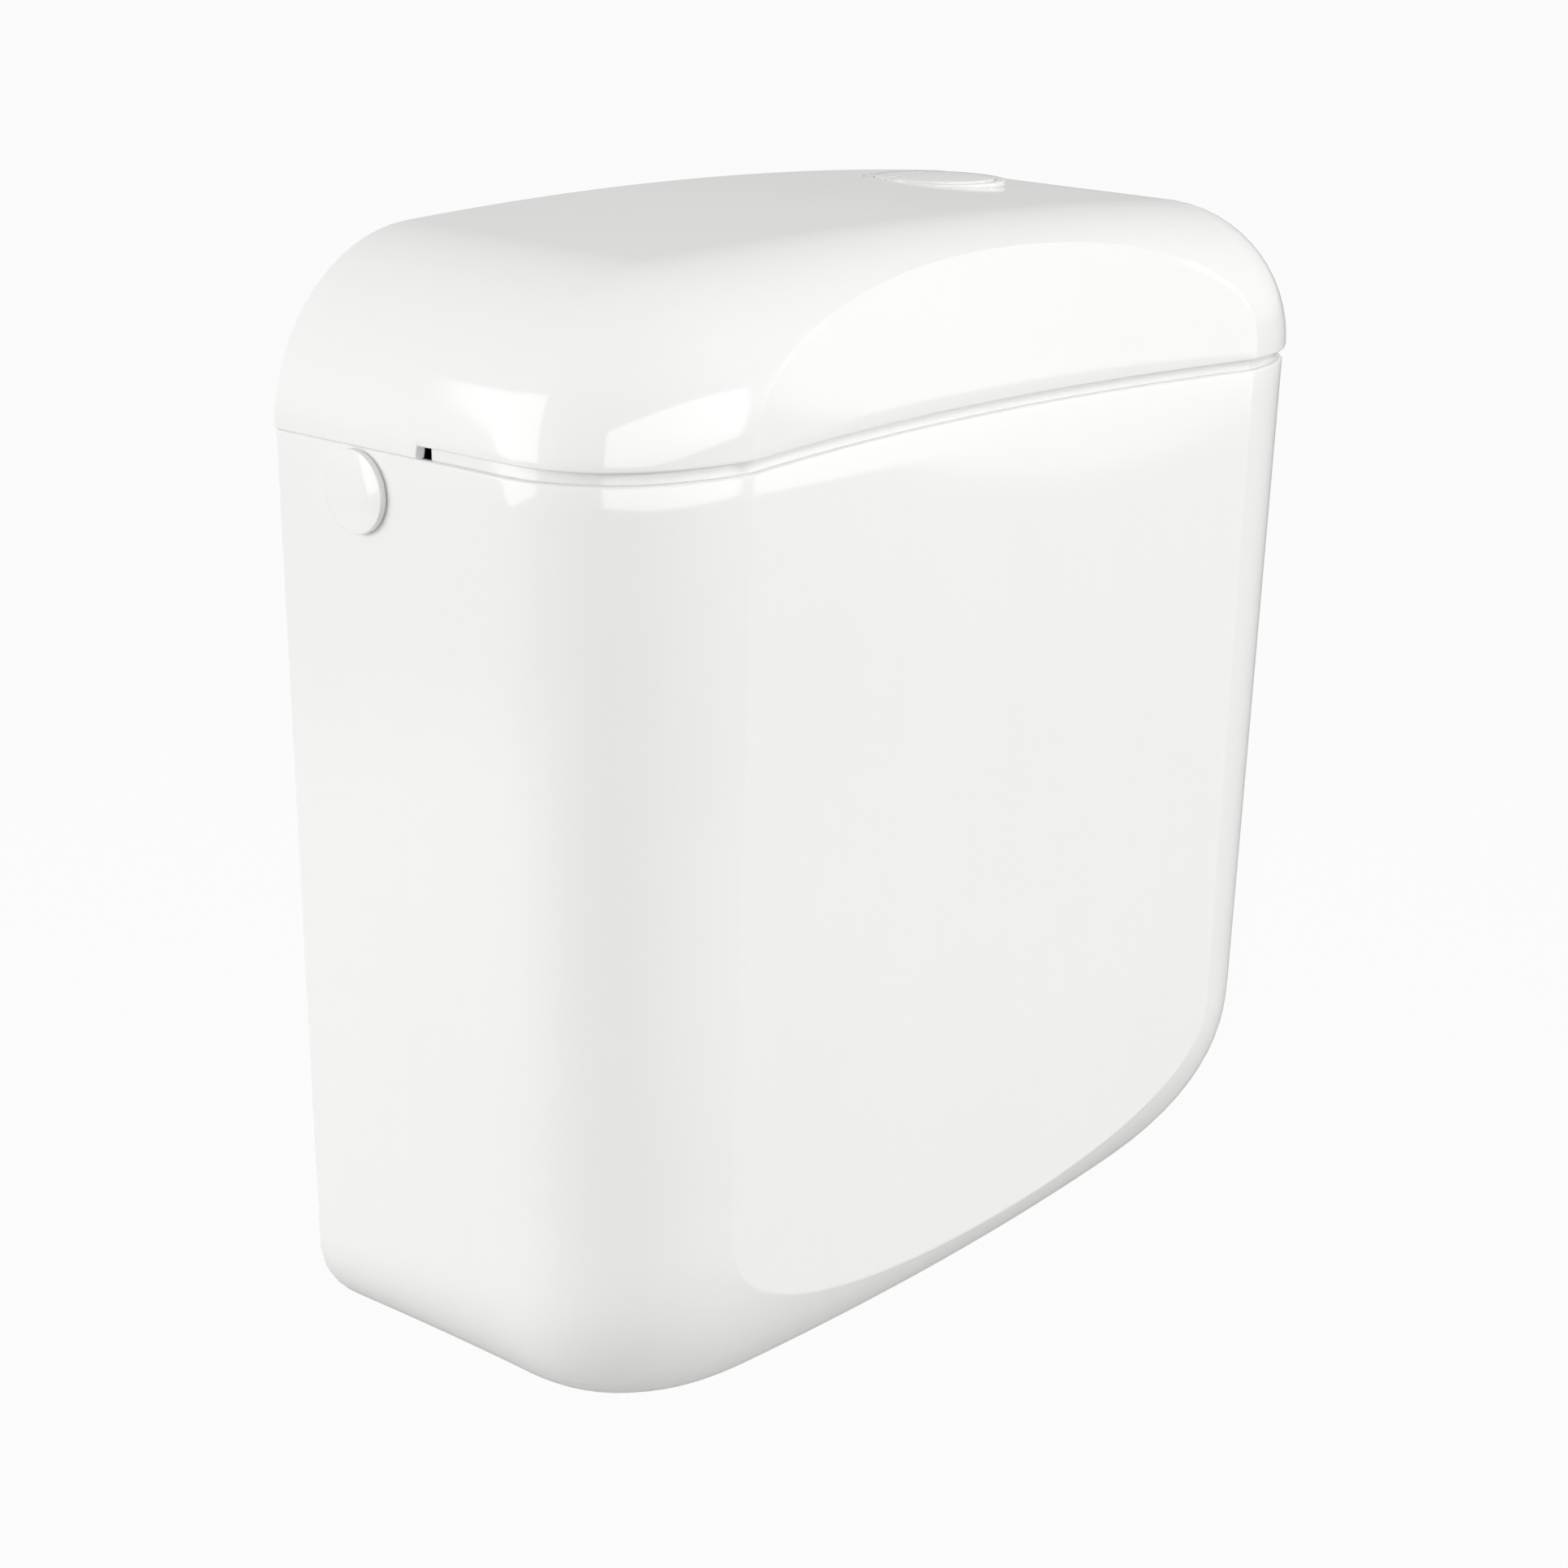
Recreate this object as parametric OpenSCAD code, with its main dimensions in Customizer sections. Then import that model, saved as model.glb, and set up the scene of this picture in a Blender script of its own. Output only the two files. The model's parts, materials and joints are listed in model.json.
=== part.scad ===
// Wall-hung toilet cistern: tank, lift-off lid, dual push button, flush valve and side-entry fill valve.
// Origin midway between the two wall fixings, in the plane of the wall. X to the viewer's right,
// -Y out of the wall towards the viewer, +Z up. Millimetres.

/* [Tank] */
// Width of the tank at its rim
tank_w = 380; // [360:2:420]
// Depth of the tank from the wall to the middle of its bowed front
tank_d = 156; // [150:1:180]
// Height of the tank from its underside to its rim
tank_h = 334; // [310:2:380]
// Thickness of the tank's walls and floor
tank_wall = 3.2; // [2.6:0.1:4]
// Radius of the two front corners, seen from above
corner_r = 40; // [30:1:48]
// How far the front bows out in front of its corners
front_bow = 14; // [11:0.5:18]
// How much each side draws in from the rim down to the foot
side_taper = 4.4; // [1:0.2:8]
// Radius of the lower left and right corners, seen from the front
foot_side_r = 62; // [45:1:75]
// Depth of the flat floor, from the wall to where the lower front edge starts to round
floor_depth = 74; // [72:1:85]
// Radius that rounds the two lower front corners, seen along their diagonals
foot_corner_r = 103; // [98:1:108]
// Height of the rim above the wall fixings
rim_h = 45; // [40:1:55]
// Distance between the two wall fixings
fixing_spacing = 240; // [200:2:300]
// Diameter of each wall fixing hole
fixing_d = 8; // [6:0.5:10]

/* [Front scoop] */
// Width of the scoop, from crease to crease
scoop_w = 268; // [240:1:280]
// Depth of the scoop behind its two creases
scoop_depth = 12.7; // [9:0.1:14]

/* [Lid] */
// Height of the lid above the rim, at the wall
lid_h = 64.8; // [60:0.2:72]
// Thickness of the lid
lid_wall = 2.4; // [2:0.1:2.8]
// How far the lid stands out past the tank
lid_overhang = 0.8; // [0.4:0.1:1.4]
// Radius of the arched top, seen from the front
crown_r = 1800; // [1500:20:2600]
// Slope of the top down to the front, in degrees
lid_slope = 1.4; // [0.5:0.1:2]
// Radius of the lid's upper left and right corners
lid_side_r = 55; // [44:1:58]
// Radius of the lid's upper front edge
lid_front_r = 45; // [35:1:50]
// Radius that rounds the lid's two upper front corners, seen along their diagonals
lid_corner_r = 57; // [53:1:60]
// Height of the shadow gap between lid and tank
shadow_gap = 3.8; // [3:0.1:5]
// Distance from the wall at which the shadow gap starts
gap_start = 66; // [55:1:75]
// Height of the lip that stands in the shadow gap
lip_h = 7; // [6:0.2:8]
// Thickness of the lip
lip_t = 2.6; // [2:0.1:3]
// Distance of the lip's face behind the face of the tank
lip_inset = 2.2; // [2:0.1:2.6]

/* [Button] */
// Distance of the button's middle from the right side of the tank
button_from_side = 106; // [100:1:112]
// Distance of the button from the wall
button_from_wall = 39; // [38:0.5:40]
// Diameter of the bezel's flange
bezel_d = 52; // [51:0.5:56]
// Thickness of the bezel's flange
bezel_t = 2.4; // [2:0.1:3]
// Outer diameter of the bezel's threaded collar
collar_d = 48; // [47.6:0.1:49]
// Inner diameter of the bezel
bezel_bore = 44.6; // [44.4:0.1:45]
// Length of the collar below the flange
collar_l = 23; // [21:0.5:26]
// How far a button is pushed
button_travel = 9; // [7:0.5:10]
// How far the buttons stand above the flange
button_rise = 1.6; // [1:0.1:2.4]
// Diameter of a button's stem
stem_d = 7; // [6:0.2:7.4]
// Diameter of a push rod
rod_d = 4; // [3:0.2:4.6]
// Thickness of a return spring's ring of wire
spring_wire = 1.2; // [0.8:0.1:1.2]

/* [Flush valve] */
// Distance of the outlet from the wall
outlet_from_wall = 50; // [49:0.5:50]
// Outer diameter of the threaded outlet tail
tail_d = 47.8; // [46:0.2:48]
// Length of the tail below the tank
tail_l = 22; // [18:1:30]
// Diameter of the tail's plain end, for the flush pipe
spigot_d = 46.8; // [45:0.2:47]
// Bore of the outlet
outlet_bore = 40; // [38:0.5:42]
// Diameter of the base flange
base_d = 66; // [64:0.5:66]
// Thickness of the base flange
base_t = 4.5; // [4:0.1:6]
// Height of the seat above the base flange
seat_h = 8; // [6:0.5:10]
// Thickness of the washer under the base
washer_t = 2; // [1.6:0.2:3]
// Thickness of the nut under the tank
back_nut_t = 9; // [7:0.5:12]
// Width of the nut under the tank, across its corners
back_nut_w = 64; // [60:0.5:68]
// Height of the cage
cage_h = 78; // [74:1:90]
// Thickness of the cage's wall
cage_wall = 3; // [2.4:0.1:3.4]
// Outer diameter of the overflow tube
tube_d = 28; // [26:0.5:29]
// Wall of the overflow tube
tube_wall = 2; // [1.6:0.1:2.4]
// Depth of the overflow tube's mouth below the rim
overflow_drop = 70; // [66:1:74]
// Thickness of the flush seal
seal_t = 4; // [3:0.2:5]
// Height of the float on the overflow tube
full_float_h = 36; // [30:1:40]
// Distance of the half-flush rod from the wall
half_from_wall = 24; // [23.5:0.1:24.5]

/* [Rockers] */
// Distance of the rocker pin to the right of the middle
pivot_x = 44; // [42:0.5:46]
// Depth of the rocker pin below the rim
pivot_drop = 86; // [84:0.5:90]
// Diameter of the rocker pin
pivot_d = 4; // [3:0.2:5]
// Thickness of a rocker's bar
bar_t = 6; // [5:0.2:7]
// Width of the full rocker's bar
full_bar_w = 6; // [5:0.2:8]
// Width of the half rocker's bar
half_bar_w = 5; // [4:0.2:6]

/* [Fill valve] */
// Distance of the water inlets from the wall
inlet_from_wall = 38.5; // [38:0.5:44]
// Depth of the water inlets below the rim
inlet_drop = 13.7; // [13.5:0.1:20]
// Outer diameter of the inlet's thread
inlet_d = 20.9; // [20:0.1:21.4]
// Length of the inlet's thread outside the tank
inlet_l = 24; // [20:1:30]
// Diameter of the inlet's outer end, for the supply hose
supply_d = 20.3; // [19:0.1:20.4]
// Bore of the inlet
inlet_bore = 10; // [8:0.5:12]
// Diameter of the fill valve's body
body_d = 24; // [22:0.5:25]
// Diameter of the fill valve's cap
cap_d = 32; // [31:0.5:33]
// Length of the float arm from its pin to the link
arm_l = 30; // [28:0.5:32]
// Width of the level float along the tank
float_w = 32; // [28:1:34]
// Depth of the level float out of the wall
float_d = 48; // [40:1:52]
// Height of the level float
float_h = 46; // [40:1:56]
// Depth of the level float's top below the rim
float_drop = 78; // [76:1:90]
// Diameter of the level screw
screw_d = 5; // [4:0.2:6]
// Diameter of the discharge tube
discharge_d = 17.2; // [16:0.2:18]
// Height of the discharge tube's mouth above the tank's floor
discharge_lift = 40; // [20:1:60]
// Diameter of the blanking plug's face
plug_d = 26; // [24:0.2:27]
// Thickness of the blanking plug's face
plug_t = 2.4; // [1.6:0.1:3]

/* [Fits] */
// Gap between pieces that move past each other
move_gap = 0.3; // [0.2:0.05:0.4]
// Radial clearance of a pin that turns in its bore
pin_gap = 0.05; // [0.03:0.01:0.08]
// Radial clearance of a threaded or fixed fit
fit_gap = 0.1; // [0.06:0.01:0.15]
// Radial clearance of a hole that a piece is put through
hole_gap = 0.55; // [0.4:0.05:0.8]

/* [Hidden] */
$fn = 64;
arc_fn = 360;
cut = 1;

// Rounded corners stand this far past a tangent arc, so that faces meet at a clean edge
corner_proud = 0.15;
// The bow seen from above, and the lid's front rounding, stand this far outside the faces they meet
front_proud = 0.3;
// The lid's side faces stand this far outside its crown
crown_proud = 0.5;
// Blends start this far outside the corners and the faces that they join
blend_proud = 0.5;

// Tank
half_w = tank_w / 2;
foot_front_r = tank_d - floor_depth;
rim_z = rim_h;
foot_z = rim_z - tank_h;
floor_z = foot_z + tank_wall;
front_r = (half_w * half_w + front_bow * front_bow) / (2 * front_bow);
taper = side_taper / tank_h;
taper_angle = atan(taper);
floor_pad = 1;
floor_pad_margin = 1;

// Upright axis of the bowed front, and how far outlines turn about it, in degrees
bow_y = front_r - tank_d;
bow_sweep = 2 * atan((half_w + corner_r) / bow_y);
bow_fn = 4 * arc_fn;

// Front corners, seen from above, and how far they reach along their diagonals
corner_x = half_w - corner_r;
corner_y = bow_y - sqrt(pow(front_r - corner_r, 2) - corner_x * corner_x);
corner_reach = (corner_x - corner_y) / sqrt(2) + corner_r + blend_proud;
foot_blend = [corner_reach - foot_corner_r, foot_z - blend_proud + foot_corner_r];

// Scoop: a wide upright cylinder that cuts the bowed front along two creases
scoop_half = scoop_w / 2;
crease_y = front_r - tank_d - sqrt(front_r * front_r - scoop_half * scoop_half);
scoop_r = (scoop_half * scoop_half + scoop_depth * scoop_depth) / (2 * scoop_depth);
scoop_y = crease_y + scoop_depth - scoop_r;

// Lid
lid_top = rim_z + lid_h;
lid_half = half_w + lid_overhang;
lid_d = tank_d + lid_overhang;
lid_low = rim_z - lid_side_r;
lip_root = 9;
// How far the arched, sloped top lies below its highest point
function crown_fall(x, from_wall) = x * x / (2 * crown_r) + from_wall * tan(lid_slope);
lid_blend_in = (lid_corner_r - corner_r) / sqrt(2);
lid_blend_z = lid_top - crown_fall(corner_x - lid_blend_in, -corner_y - lid_blend_in) + blend_proud;
lid_blend = [corner_reach + lid_overhang - lid_corner_r, lid_blend_z - lid_corner_r];

// Button
button_x = half_w - button_from_side;
button_y = -button_from_wall;
seat_cut = 1.5;
button_seat = lid_top - crown_fall(button_x, button_from_wall) - seat_cut;
pad_t = 3.2;
pad_margin = 4;
pad_d = bezel_d + 2 * pad_margin;
bezel_top = button_seat + bezel_t;
bezel_floor_t = 2.5;
bezel_floor = button_seat - collar_l;
button_r = bezel_bore / 2 - move_gap;
button_top = bezel_top + button_rise;
button_plate = 4;
skirt_room = 4.5;
skirt_low = bezel_floor + bezel_floor_t + button_travel + skirt_room;
button_dome_r = 220;
skirt_wall = 1.6;
split_y = -33.4;
split_gap = 0.8;
bezel_nut_t = 7;
bezel_nut_d = 58;
notch_step = 30;
notch_r = 2.5;
notch_out = 1.5;
full_y = -outlet_from_wall;
half_y = -half_from_wall;
stem_over = 8;
stem_low = bezel_floor - stem_over;

// Flush valve
valve_y = -outlet_from_wall;
base_low = floor_z + floor_pad + washer_t;
base_top = base_low + base_t;
seat_z = base_top + seat_h;
seat_wall = 4;
tail_low = foot_z - tail_l;
thread_past = 1;
thread_low = foot_z - back_nut_t - thread_past;
cage_set = 0.6;
cage_r = base_d / 2 - cage_set;
cage_top = base_top + cage_h;
cage_roof = 4;
window_w = 34;
window_margin = 9;
tube_r = tube_d / 2;
tube_top = rim_z - overflow_drop;
tube_tail = 12;
column_gap = 1;
column_wall = 2.4;
column_r = tube_r + column_gap + column_wall;
column_drop = 14;
column_top = rim_z - pivot_drop - column_drop;
guide_h = 6;
seal_margin = 3;
seal_r = cage_r - cage_wall - seal_margin;
seal_step = 1;
seal_flange_r = seal_r - seal_step;
seal_flange_t = 3.5;
seal_ring_t = 4;
full_float_rise = 14;
full_float_low = seat_z + full_float_rise;
full_float_r = seal_r - seal_step / 2;
seal_ring_gap = 1.5;
seal_ring_r = outlet_bore / 2 - seal_ring_gap;
half_float_rise = 24;
half_float_h = 40;
half_float_w = 26;
half_float_back = 9;
half_rod_tail = 4;

// Rockers: bars lie level at rest, with their tops just under the lift collars
pivot_z = rim_z - pivot_drop;
bar_raise = 0.7;
bar_top = pivot_z + bar_t / 2 + bar_raise;
bar_low = bar_top - bar_t;
lift_z = bar_top + move_gap;
lift_collar_t = 5;
lift_collar_w = 5.5;
lift_collar_r = tube_r + lift_collar_w;
hub_wall = 3;
hub_r = pivot_d / 2 + hub_wall;
pad_r = 5;
fork_gap = 1;
fork_in = tube_r + fork_gap;
fork_w = 3.5;
fork_bridge = fork_in + fork_w + 1;
full_hub_w = 12;
half_hub_w = 8;
lug_w = 4;
lug_over = 0.5;
lug_r = hub_r + lug_over;
half_rod_d = 5;
half_rod_r = half_rod_d / 2;
half_collar_w = 2.5;
half_collar_r = half_rod_r + half_collar_w;
half_fork_gap = 0.6;
half_fork_in = half_rod_r + half_fork_gap;
half_bridge_gap = 3;
half_bridge = half_rod_r + half_bridge_gap;
half_guide_w = 3.5;
half_fork_w = 2.5;
bracket_plate_t = 4;
bracket_drop = 10;
bracket_top = column_top - bracket_drop;
bead_h = 4;
bracket_ring_h = 16;
bracket_ring_w = 3.4;
stop_bead = 1.6;
tip_x = 1;
pin_over = 1.6;

// Fill valve, along X on the right-hand wall
inlet_y = -inlet_from_wall;
inlet_z = rim_z - inlet_drop;
side_hole_r = inlet_d / 2 + hole_gap;
side_out = half_w - taper * inlet_drop;
side_in = side_out - tank_wall / cos(taper_angle);
seat_slack = 0.2;
inlet_washer_t = 2;
inlet_flange_t = 3;
inlet_flange_w = 4.5;
inlet_flange_r = inlet_d / 2 + inlet_flange_w;
washer_out = side_in - seat_slack;
flange_out = washer_out - inlet_washer_t;
flange_in = flange_out - inlet_flange_t;
body_l = 21;
body_end = flange_in - body_l;
body_r = body_d / 2;
cap_room = 1.2;
cap_bore_r = body_r + cap_room;
cap_end_t = 4;
diaphragm_t = 2.2;
closing_stroke = 2;
closing_pin_d = 6;
closing_head_r = 6;
closing_head_t = 2.2;
cap_space = diaphragm_t + closing_stroke + closing_head_t + 2 * move_gap;
cap_end = body_end - cap_space - cap_end_t;
closing_reach = 3.6;
closing_out = cap_end - closing_reach;
arm_reach = 7;
arm_under = 10;
arm_x = cap_end - arm_reach;
arm_z = inlet_z - arm_under;
arm_pin_d = 3;
arm_hub_r = 4.5;
arm_hub_w = 10;
arm_bar_t = 6;
arm_leg_t = 4.6;
arm_leg_over = 4;
arm_leg_top = inlet_z + arm_leg_over;
pin_end = 1;
cap_lug_w = 3;
cap_lug_gap = 0.5;
cap_lug_h = 12;
link_x = arm_x - arm_l;
link_d = 3;
eye_w = 3.8;
eye_r = 4.5;
neck_l = 8;
screw_depth = 30;
float_top = rim_z - float_drop;
boss_x = (flange_in + body_end) / 2;
discharge_wall = 1.5;
diaphragm_edge = 1;
boss_r = discharge_d / 2 - discharge_wall - fit_gap;
boss_wall = 1.6;
boss_grip = 8;
boss_drop = cap_d / 2 + move_gap + boss_grip;
cap_grip = boss_x - boss_r - move_gap - body_end;
nut_out_t = 8;
inlet_nut_r = 15;
strainer_l = 16;
strainer_wall = 1.1;
strainer_end = 1.5;
plug_leg = 4;
plug_snap = 1.4;
plug_prong_h = inlet_d / 2;

// Shared shapes

// Outline with one bowed edge and two rounded corners: base on y = 0, bow at y = reach
module bowed(half, reach, bow, corner) {
    centre = reach - bow;
    corner_x = half - corner;
    corner_y = centre + sqrt(pow(bow - corner, 2) - corner_x * corner_x);
    away = [corner_x, corner_y - centre] / norm([corner_x, corner_y - centre]);
    far = [corner_x, corner_y] + away * 2 * corner;
    difference() {
        intersection() {
            translate([-half, 0])
                square([2 * half, reach]);
            translate([0, centre])
                circle(r = bow, $fn = arc_fn);
        }
        for (side = [0, 1])
            mirror([side, 0])
                difference() {
                    polygon([[corner_x, corner_y], [half + cut, corner_y], [half + cut, far[1]], far]);
                    translate([corner_x, corner_y])
                        circle(r = corner + corner_proud, $fn = arc_fn);
                }
    }
}

// Tank outline from above, drawn in by inset, with the scoop cut out, the back at y = -back
// and the bow standing proud
module plan(inset, back, proud = 0) {
    difference() {
        mirror([0, 1])
            bowed(half_w - inset, tank_d - inset + proud, front_r - inset, corner_r - inset);
        translate([0, scoop_y])
            circle(r = scoop_r + inset, $fn = arc_fn);
        translate([-tank_w, -back])
            square([2 * tank_w, back + cut]);
    }
}

// Tank outline from the front: tapered sides and rounded lower corners, drawn in by inset
module tank_front(inset, top) {
    r = foot_side_r - inset;
    lean = inset / cos(taper_angle);
    cz = foot_z + foot_side_r;
    cx = half_w - taper * (rim_z - cz) - foot_side_r / cos(taper_angle);
    low = foot_z + inset;
    top_x = half_w + taper * (top - rim_z) - lean;
    touch = [cx + r * cos(taper_angle), cz - r * sin(taper_angle)];
    polygon([[-top_x, top], [top_x, top], touch, [cx, low], [-cx, low], [-touch[0], touch[1]]]);
    for (side = [-1, 1])
        translate([side * cx, cz])
            circle(r = r, $fn = arc_fn);
}

// Tank outline from the side: rounded lower front edge, drawn in by inset
module tank_side(inset, top) {
    r = foot_front_r - inset;
    cy = -tank_d + foot_front_r;
    cz = foot_z + foot_front_r;
    front = -tank_d + inset;
    low = foot_z + inset;
    polygon([[cut, low], [cut, top], [front, top], [front, cz], [cy, low]]);
    translate([cy, cz])
        circle(r = r, $fn = arc_fn);
}

// Turns an outline that is seen from the side about the axis of the bowed front
module bow_turn() {
    translate([0, bow_y, 0])
        rotate([0, 0, -90 - bow_sweep / 2])
            rotate_extrude(angle = bow_sweep, $fn = bow_fn)
                translate([bow_y, 0])
                    mirror([1, 0])
                        children();
}

// What both front corners lose outside a round bar across each diagonal, drawn in by inset:
// below the bar's axis, or above it
module corner_cuts(axis, r, inset, above) {
    for (turn = [-45, -135])
        rotate([90, 0, turn])
            linear_extrude(2 * tank_d, center = true)
                translate(axis)
                    difference() {
                        translate([0, above ? 0 : -2 * r])
                            square(2 * r);
                        circle(r = r - inset, $fn = arc_fn);
                    }
}

// Solid that three outlines share, with its lower front corners blended, drawn in by inset
module tank_solid(inset, back, top) {
    difference() {
        intersection() {
            translate([0, 0, foot_z - cut])
                linear_extrude(top - foot_z + cut)
                    plan(inset, back, front_proud);
            translate([0, 2 * cut, 0])
                rotate([90, 0, 0])
                    linear_extrude(tank_d + 4 * cut)
                        tank_front(inset, top + cut);
            bow_turn()
                tank_side(inset, top + cut);
        }
        corner_cuts(foot_blend, foot_corner_r, inset, false);
    }
}

// Lid outline from the side: sloped top and rounded upper front edge, drawn in by inset
module lid_side(inset) {
    r = lid_front_r - inset;
    cy = -lid_d + lid_front_r;
    cz = lid_top + front_proud + cy * tan(lid_slope) - lid_front_r / cos(lid_slope);
    touch = [cy - r * sin(lid_slope), cz + r * cos(lid_slope)];
    back_top = touch[1] + (cut - touch[0]) * tan(lid_slope);
    front = -lid_d + inset;
    polygon([[cut, lid_low], [cut, back_top], touch, [front, cz], [front, lid_low]]);
    translate([cy, cz])
        circle(r = r, $fn = arc_fn);
}

// Lid's full cushion, with its upper front corners blended, drawn in by inset
module lid_solid(inset, back) {
    difference() {
        intersection() {
            translate([0, 0, lid_low])
                linear_extrude(lid_h + lid_side_r + cut)
                    plan(inset - lid_overhang, back, front_proud);
            translate([0, 0, lid_top])
                rotate([90 + lid_slope, 0, 0])
                    translate([0, lid_low - lid_top, -2 * cut])
                        linear_extrude(lid_d + 4 * cut)
                            bowed(lid_half + crown_proud - inset, lid_top - lid_low - inset,
                                crown_r - inset, lid_side_r - inset);
            bow_turn()
                lid_side(inset);
        }
        corner_cuts(lid_blend, lid_corner_r, inset, true);
    }
}

// Round bar along X from x0 to x1
module bar_x(x0, x1, y, z, r) {
    translate([x0, y, z])
        rotate([0, 90, 0])
            cylinder(h = x1 - x0, r = r);
}

// Round bar along Y from y0 to y1
module bar_y(x, y0, y1, z, r) {
    translate([x, y1, z])
        rotate([90, 0, 0])
            cylinder(h = y1 - y0, r = r);
}

// Round bar along Z from z0 to z1
module bar_z(x, y, z0, z1, r) {
    translate([x, y, z0])
        cylinder(h = z1 - z0, r = r);
}

// Ring along Z
module ring_z(x, y, z0, z1, outer, inner) {
    difference() {
        bar_z(x, y, z0, z1, outer);
        bar_z(x, y, z0 - cut, z1 + cut, inner);
    }
}

// Box between two corners
module box(low, high) {
    translate(low)
        cube(high - low);
}

// Tank and lid

module tank() {
    color("white")
    difference() {
        union() {
            difference() {
                tank_solid(0, 0, rim_z);
                tank_solid(tank_wall, tank_wall, rim_z + 2 * cut);
            }
            front_lip();
            bar_z(0, valve_y, floor_z - cut, floor_z + floor_pad, base_d / 2 + floor_pad_margin);
        }
        bar_z(0, valve_y, foot_z - cut, floor_z + floor_pad + cut, tail_d / 2 + hole_gap);
        for (side = [-1, 1])
            bar_y(side * fixing_spacing / 2, -tank_wall - cut, cut, 0, fixing_d / 2);
        bar_x(-half_w - cut, half_w + cut, inlet_y, inlet_z, side_hole_r);
    }
}

// Low lip that stands inside the wall and shows in the shadow gap
module front_lip() {
    intersection() {
        translate([0, 0, rim_z - lip_root])
            linear_extrude(lip_root + lip_h)
                difference() {
                    plan(lip_inset, 0);
                    plan(lip_inset + lip_t, 0);
                }
        box([-tank_w, -tank_d - cut, rim_z - lip_root - cut],
            [tank_w, -gap_start - shadow_gap, rim_z + lip_h + cut]);
    }
}

module side_plug() {
    face = -side_out - seat_slack;
    inside = -side_in + seat_slack;
    color("white") {
        bar_x(face - plug_t, face, inlet_y, inlet_z, plug_d / 2);
        bar_x(face, inside + plug_leg, inlet_y, inlet_z, inlet_d / 2);
        intersection() {
            bar_x(inside, inside + plug_leg, inlet_y, inlet_z, side_hole_r + plug_snap);
            translate([0, inlet_y, inlet_z])
                box([inside, -inlet_d, -plug_prong_h / 2], [inside + plug_leg, inlet_d, plug_prong_h / 2]);
        }
    }
}

module lid() {
    color("white")
    difference() {
        lid_solid(0, 0);
        difference() {
            lid_solid(lid_wall, lid_wall);
            bar_z(button_x, button_y, button_seat - pad_t, lid_top + cut, pad_d / 2);
        }
        bar_z(button_x, button_y, button_seat, lid_top + cut, bezel_d / 2 + move_gap);
        bar_z(button_x, button_y, button_seat - pad_t - cut, button_seat + cut, collar_d / 2 + hole_gap);
        box([-tank_w, -tank_d - 2 * cut, lid_low - cut], [tank_w, cut, rim_z]);
        box([-tank_w, -tank_d - 2 * cut, lid_low - cut], [tank_w, -gap_start, rim_z + shadow_gap]);
    }
}

// Button

module button_bezel() {
    color("whitesmoke")
    difference() {
        union() {
            bar_z(button_x, button_y, button_seat, bezel_top, bezel_d / 2);
            bar_z(button_x, button_y, bezel_floor, bezel_top, collar_d / 2);
        }
        bar_z(button_x, button_y, bezel_floor + bezel_floor_t, bezel_top + cut, bezel_bore / 2);
        for (y = [full_y, half_y])
            bar_z(button_x, y, bezel_floor - cut, bezel_floor + bezel_floor_t + cut, stem_d / 2 + pin_gap);
    }
}

module bezel_nut() {
    top = button_seat - pad_t;
    color("whitesmoke")
    difference() {
        ring_z(button_x, button_y, top - bezel_nut_t, top, bezel_nut_d / 2, collar_d / 2 + fit_gap);
        for (turn = [0 : notch_step : 360 - notch_step])
            translate([button_x, button_y, 0])
                rotate(turn)
                    bar_z(bezel_nut_d / 2 + notch_out, 0, top - bezel_nut_t - cut, top + cut, notch_r);
    }
}

// One half of the round button. facing is -1 for the part before the split and 1 for the part behind it
module button_part(facing, stem_y) {
    edge = split_y + facing * split_gap / 2;
    low = skirt_low;
    plate_low = button_top - button_plate;
    difference() {
        union() {
            intersection() {
                bar_z(button_x, button_y, low, button_top, button_r);
                translate([button_x, button_y, button_top - button_dome_r])
                    sphere(r = button_dome_r, $fn = arc_fn);
                half_space(edge, facing, low - cut, button_top + cut);
            }
            bar_z(button_x, stem_y, stem_low, plate_low + cut, stem_d / 2);
        }
        difference() {
            intersection() {
                bar_z(button_x, button_y, low - cut, plate_low, button_r - skirt_wall);
                half_space(edge + facing * skirt_wall, facing, low - 2 * cut, plate_low);
            }
            bar_z(button_x, stem_y, low - 2 * cut, plate_low + cut, stem_d / 2);
        }
        bar_z(button_x, stem_y, stem_low - cut, plate_low, rod_d / 2 + pin_gap);
    }
}

// Space on one side of the line y = edge
module half_space(edge, facing, low, high) {
    start = facing > 0 ? edge : edge - bezel_d;
    box([button_x - bezel_d, start, low], [button_x + bezel_d, start + bezel_d, high]);
}

module full_button() {
    color("white")
        button_part(-1, full_y);
}

module half_button() {
    color("white")
        button_part(1, half_y);
}

// Rod from a rocker's pad up into a button's stem, with a round tip
module push_rod(y) {
    tip = bar_top + move_gap;
    color("gainsboro") {
        bar_z(button_x, y, tip + rod_d / 2, button_top - button_plate - move_gap, rod_d / 2);
        translate([button_x, y, tip + rod_d / 2])
            sphere(d = rod_d);
    }
}

module full_push_rod() {
    push_rod(full_y);
}

module half_push_rod() {
    push_rod(half_y);
}

// Return spring between the bezel's floor and the button, drawn as its sleeve of wire
module return_spring(y) {
    inner = stem_d / 2 + move_gap;
    low = bezel_floor + bezel_floor_t;
    color("silver")
        ring_z(button_x, y, low, button_top - button_plate, inner + spring_wire, inner);
}

module full_spring() {
    return_spring(full_y);
}

module half_spring() {
    return_spring(half_y);
}

// Rockers

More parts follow.
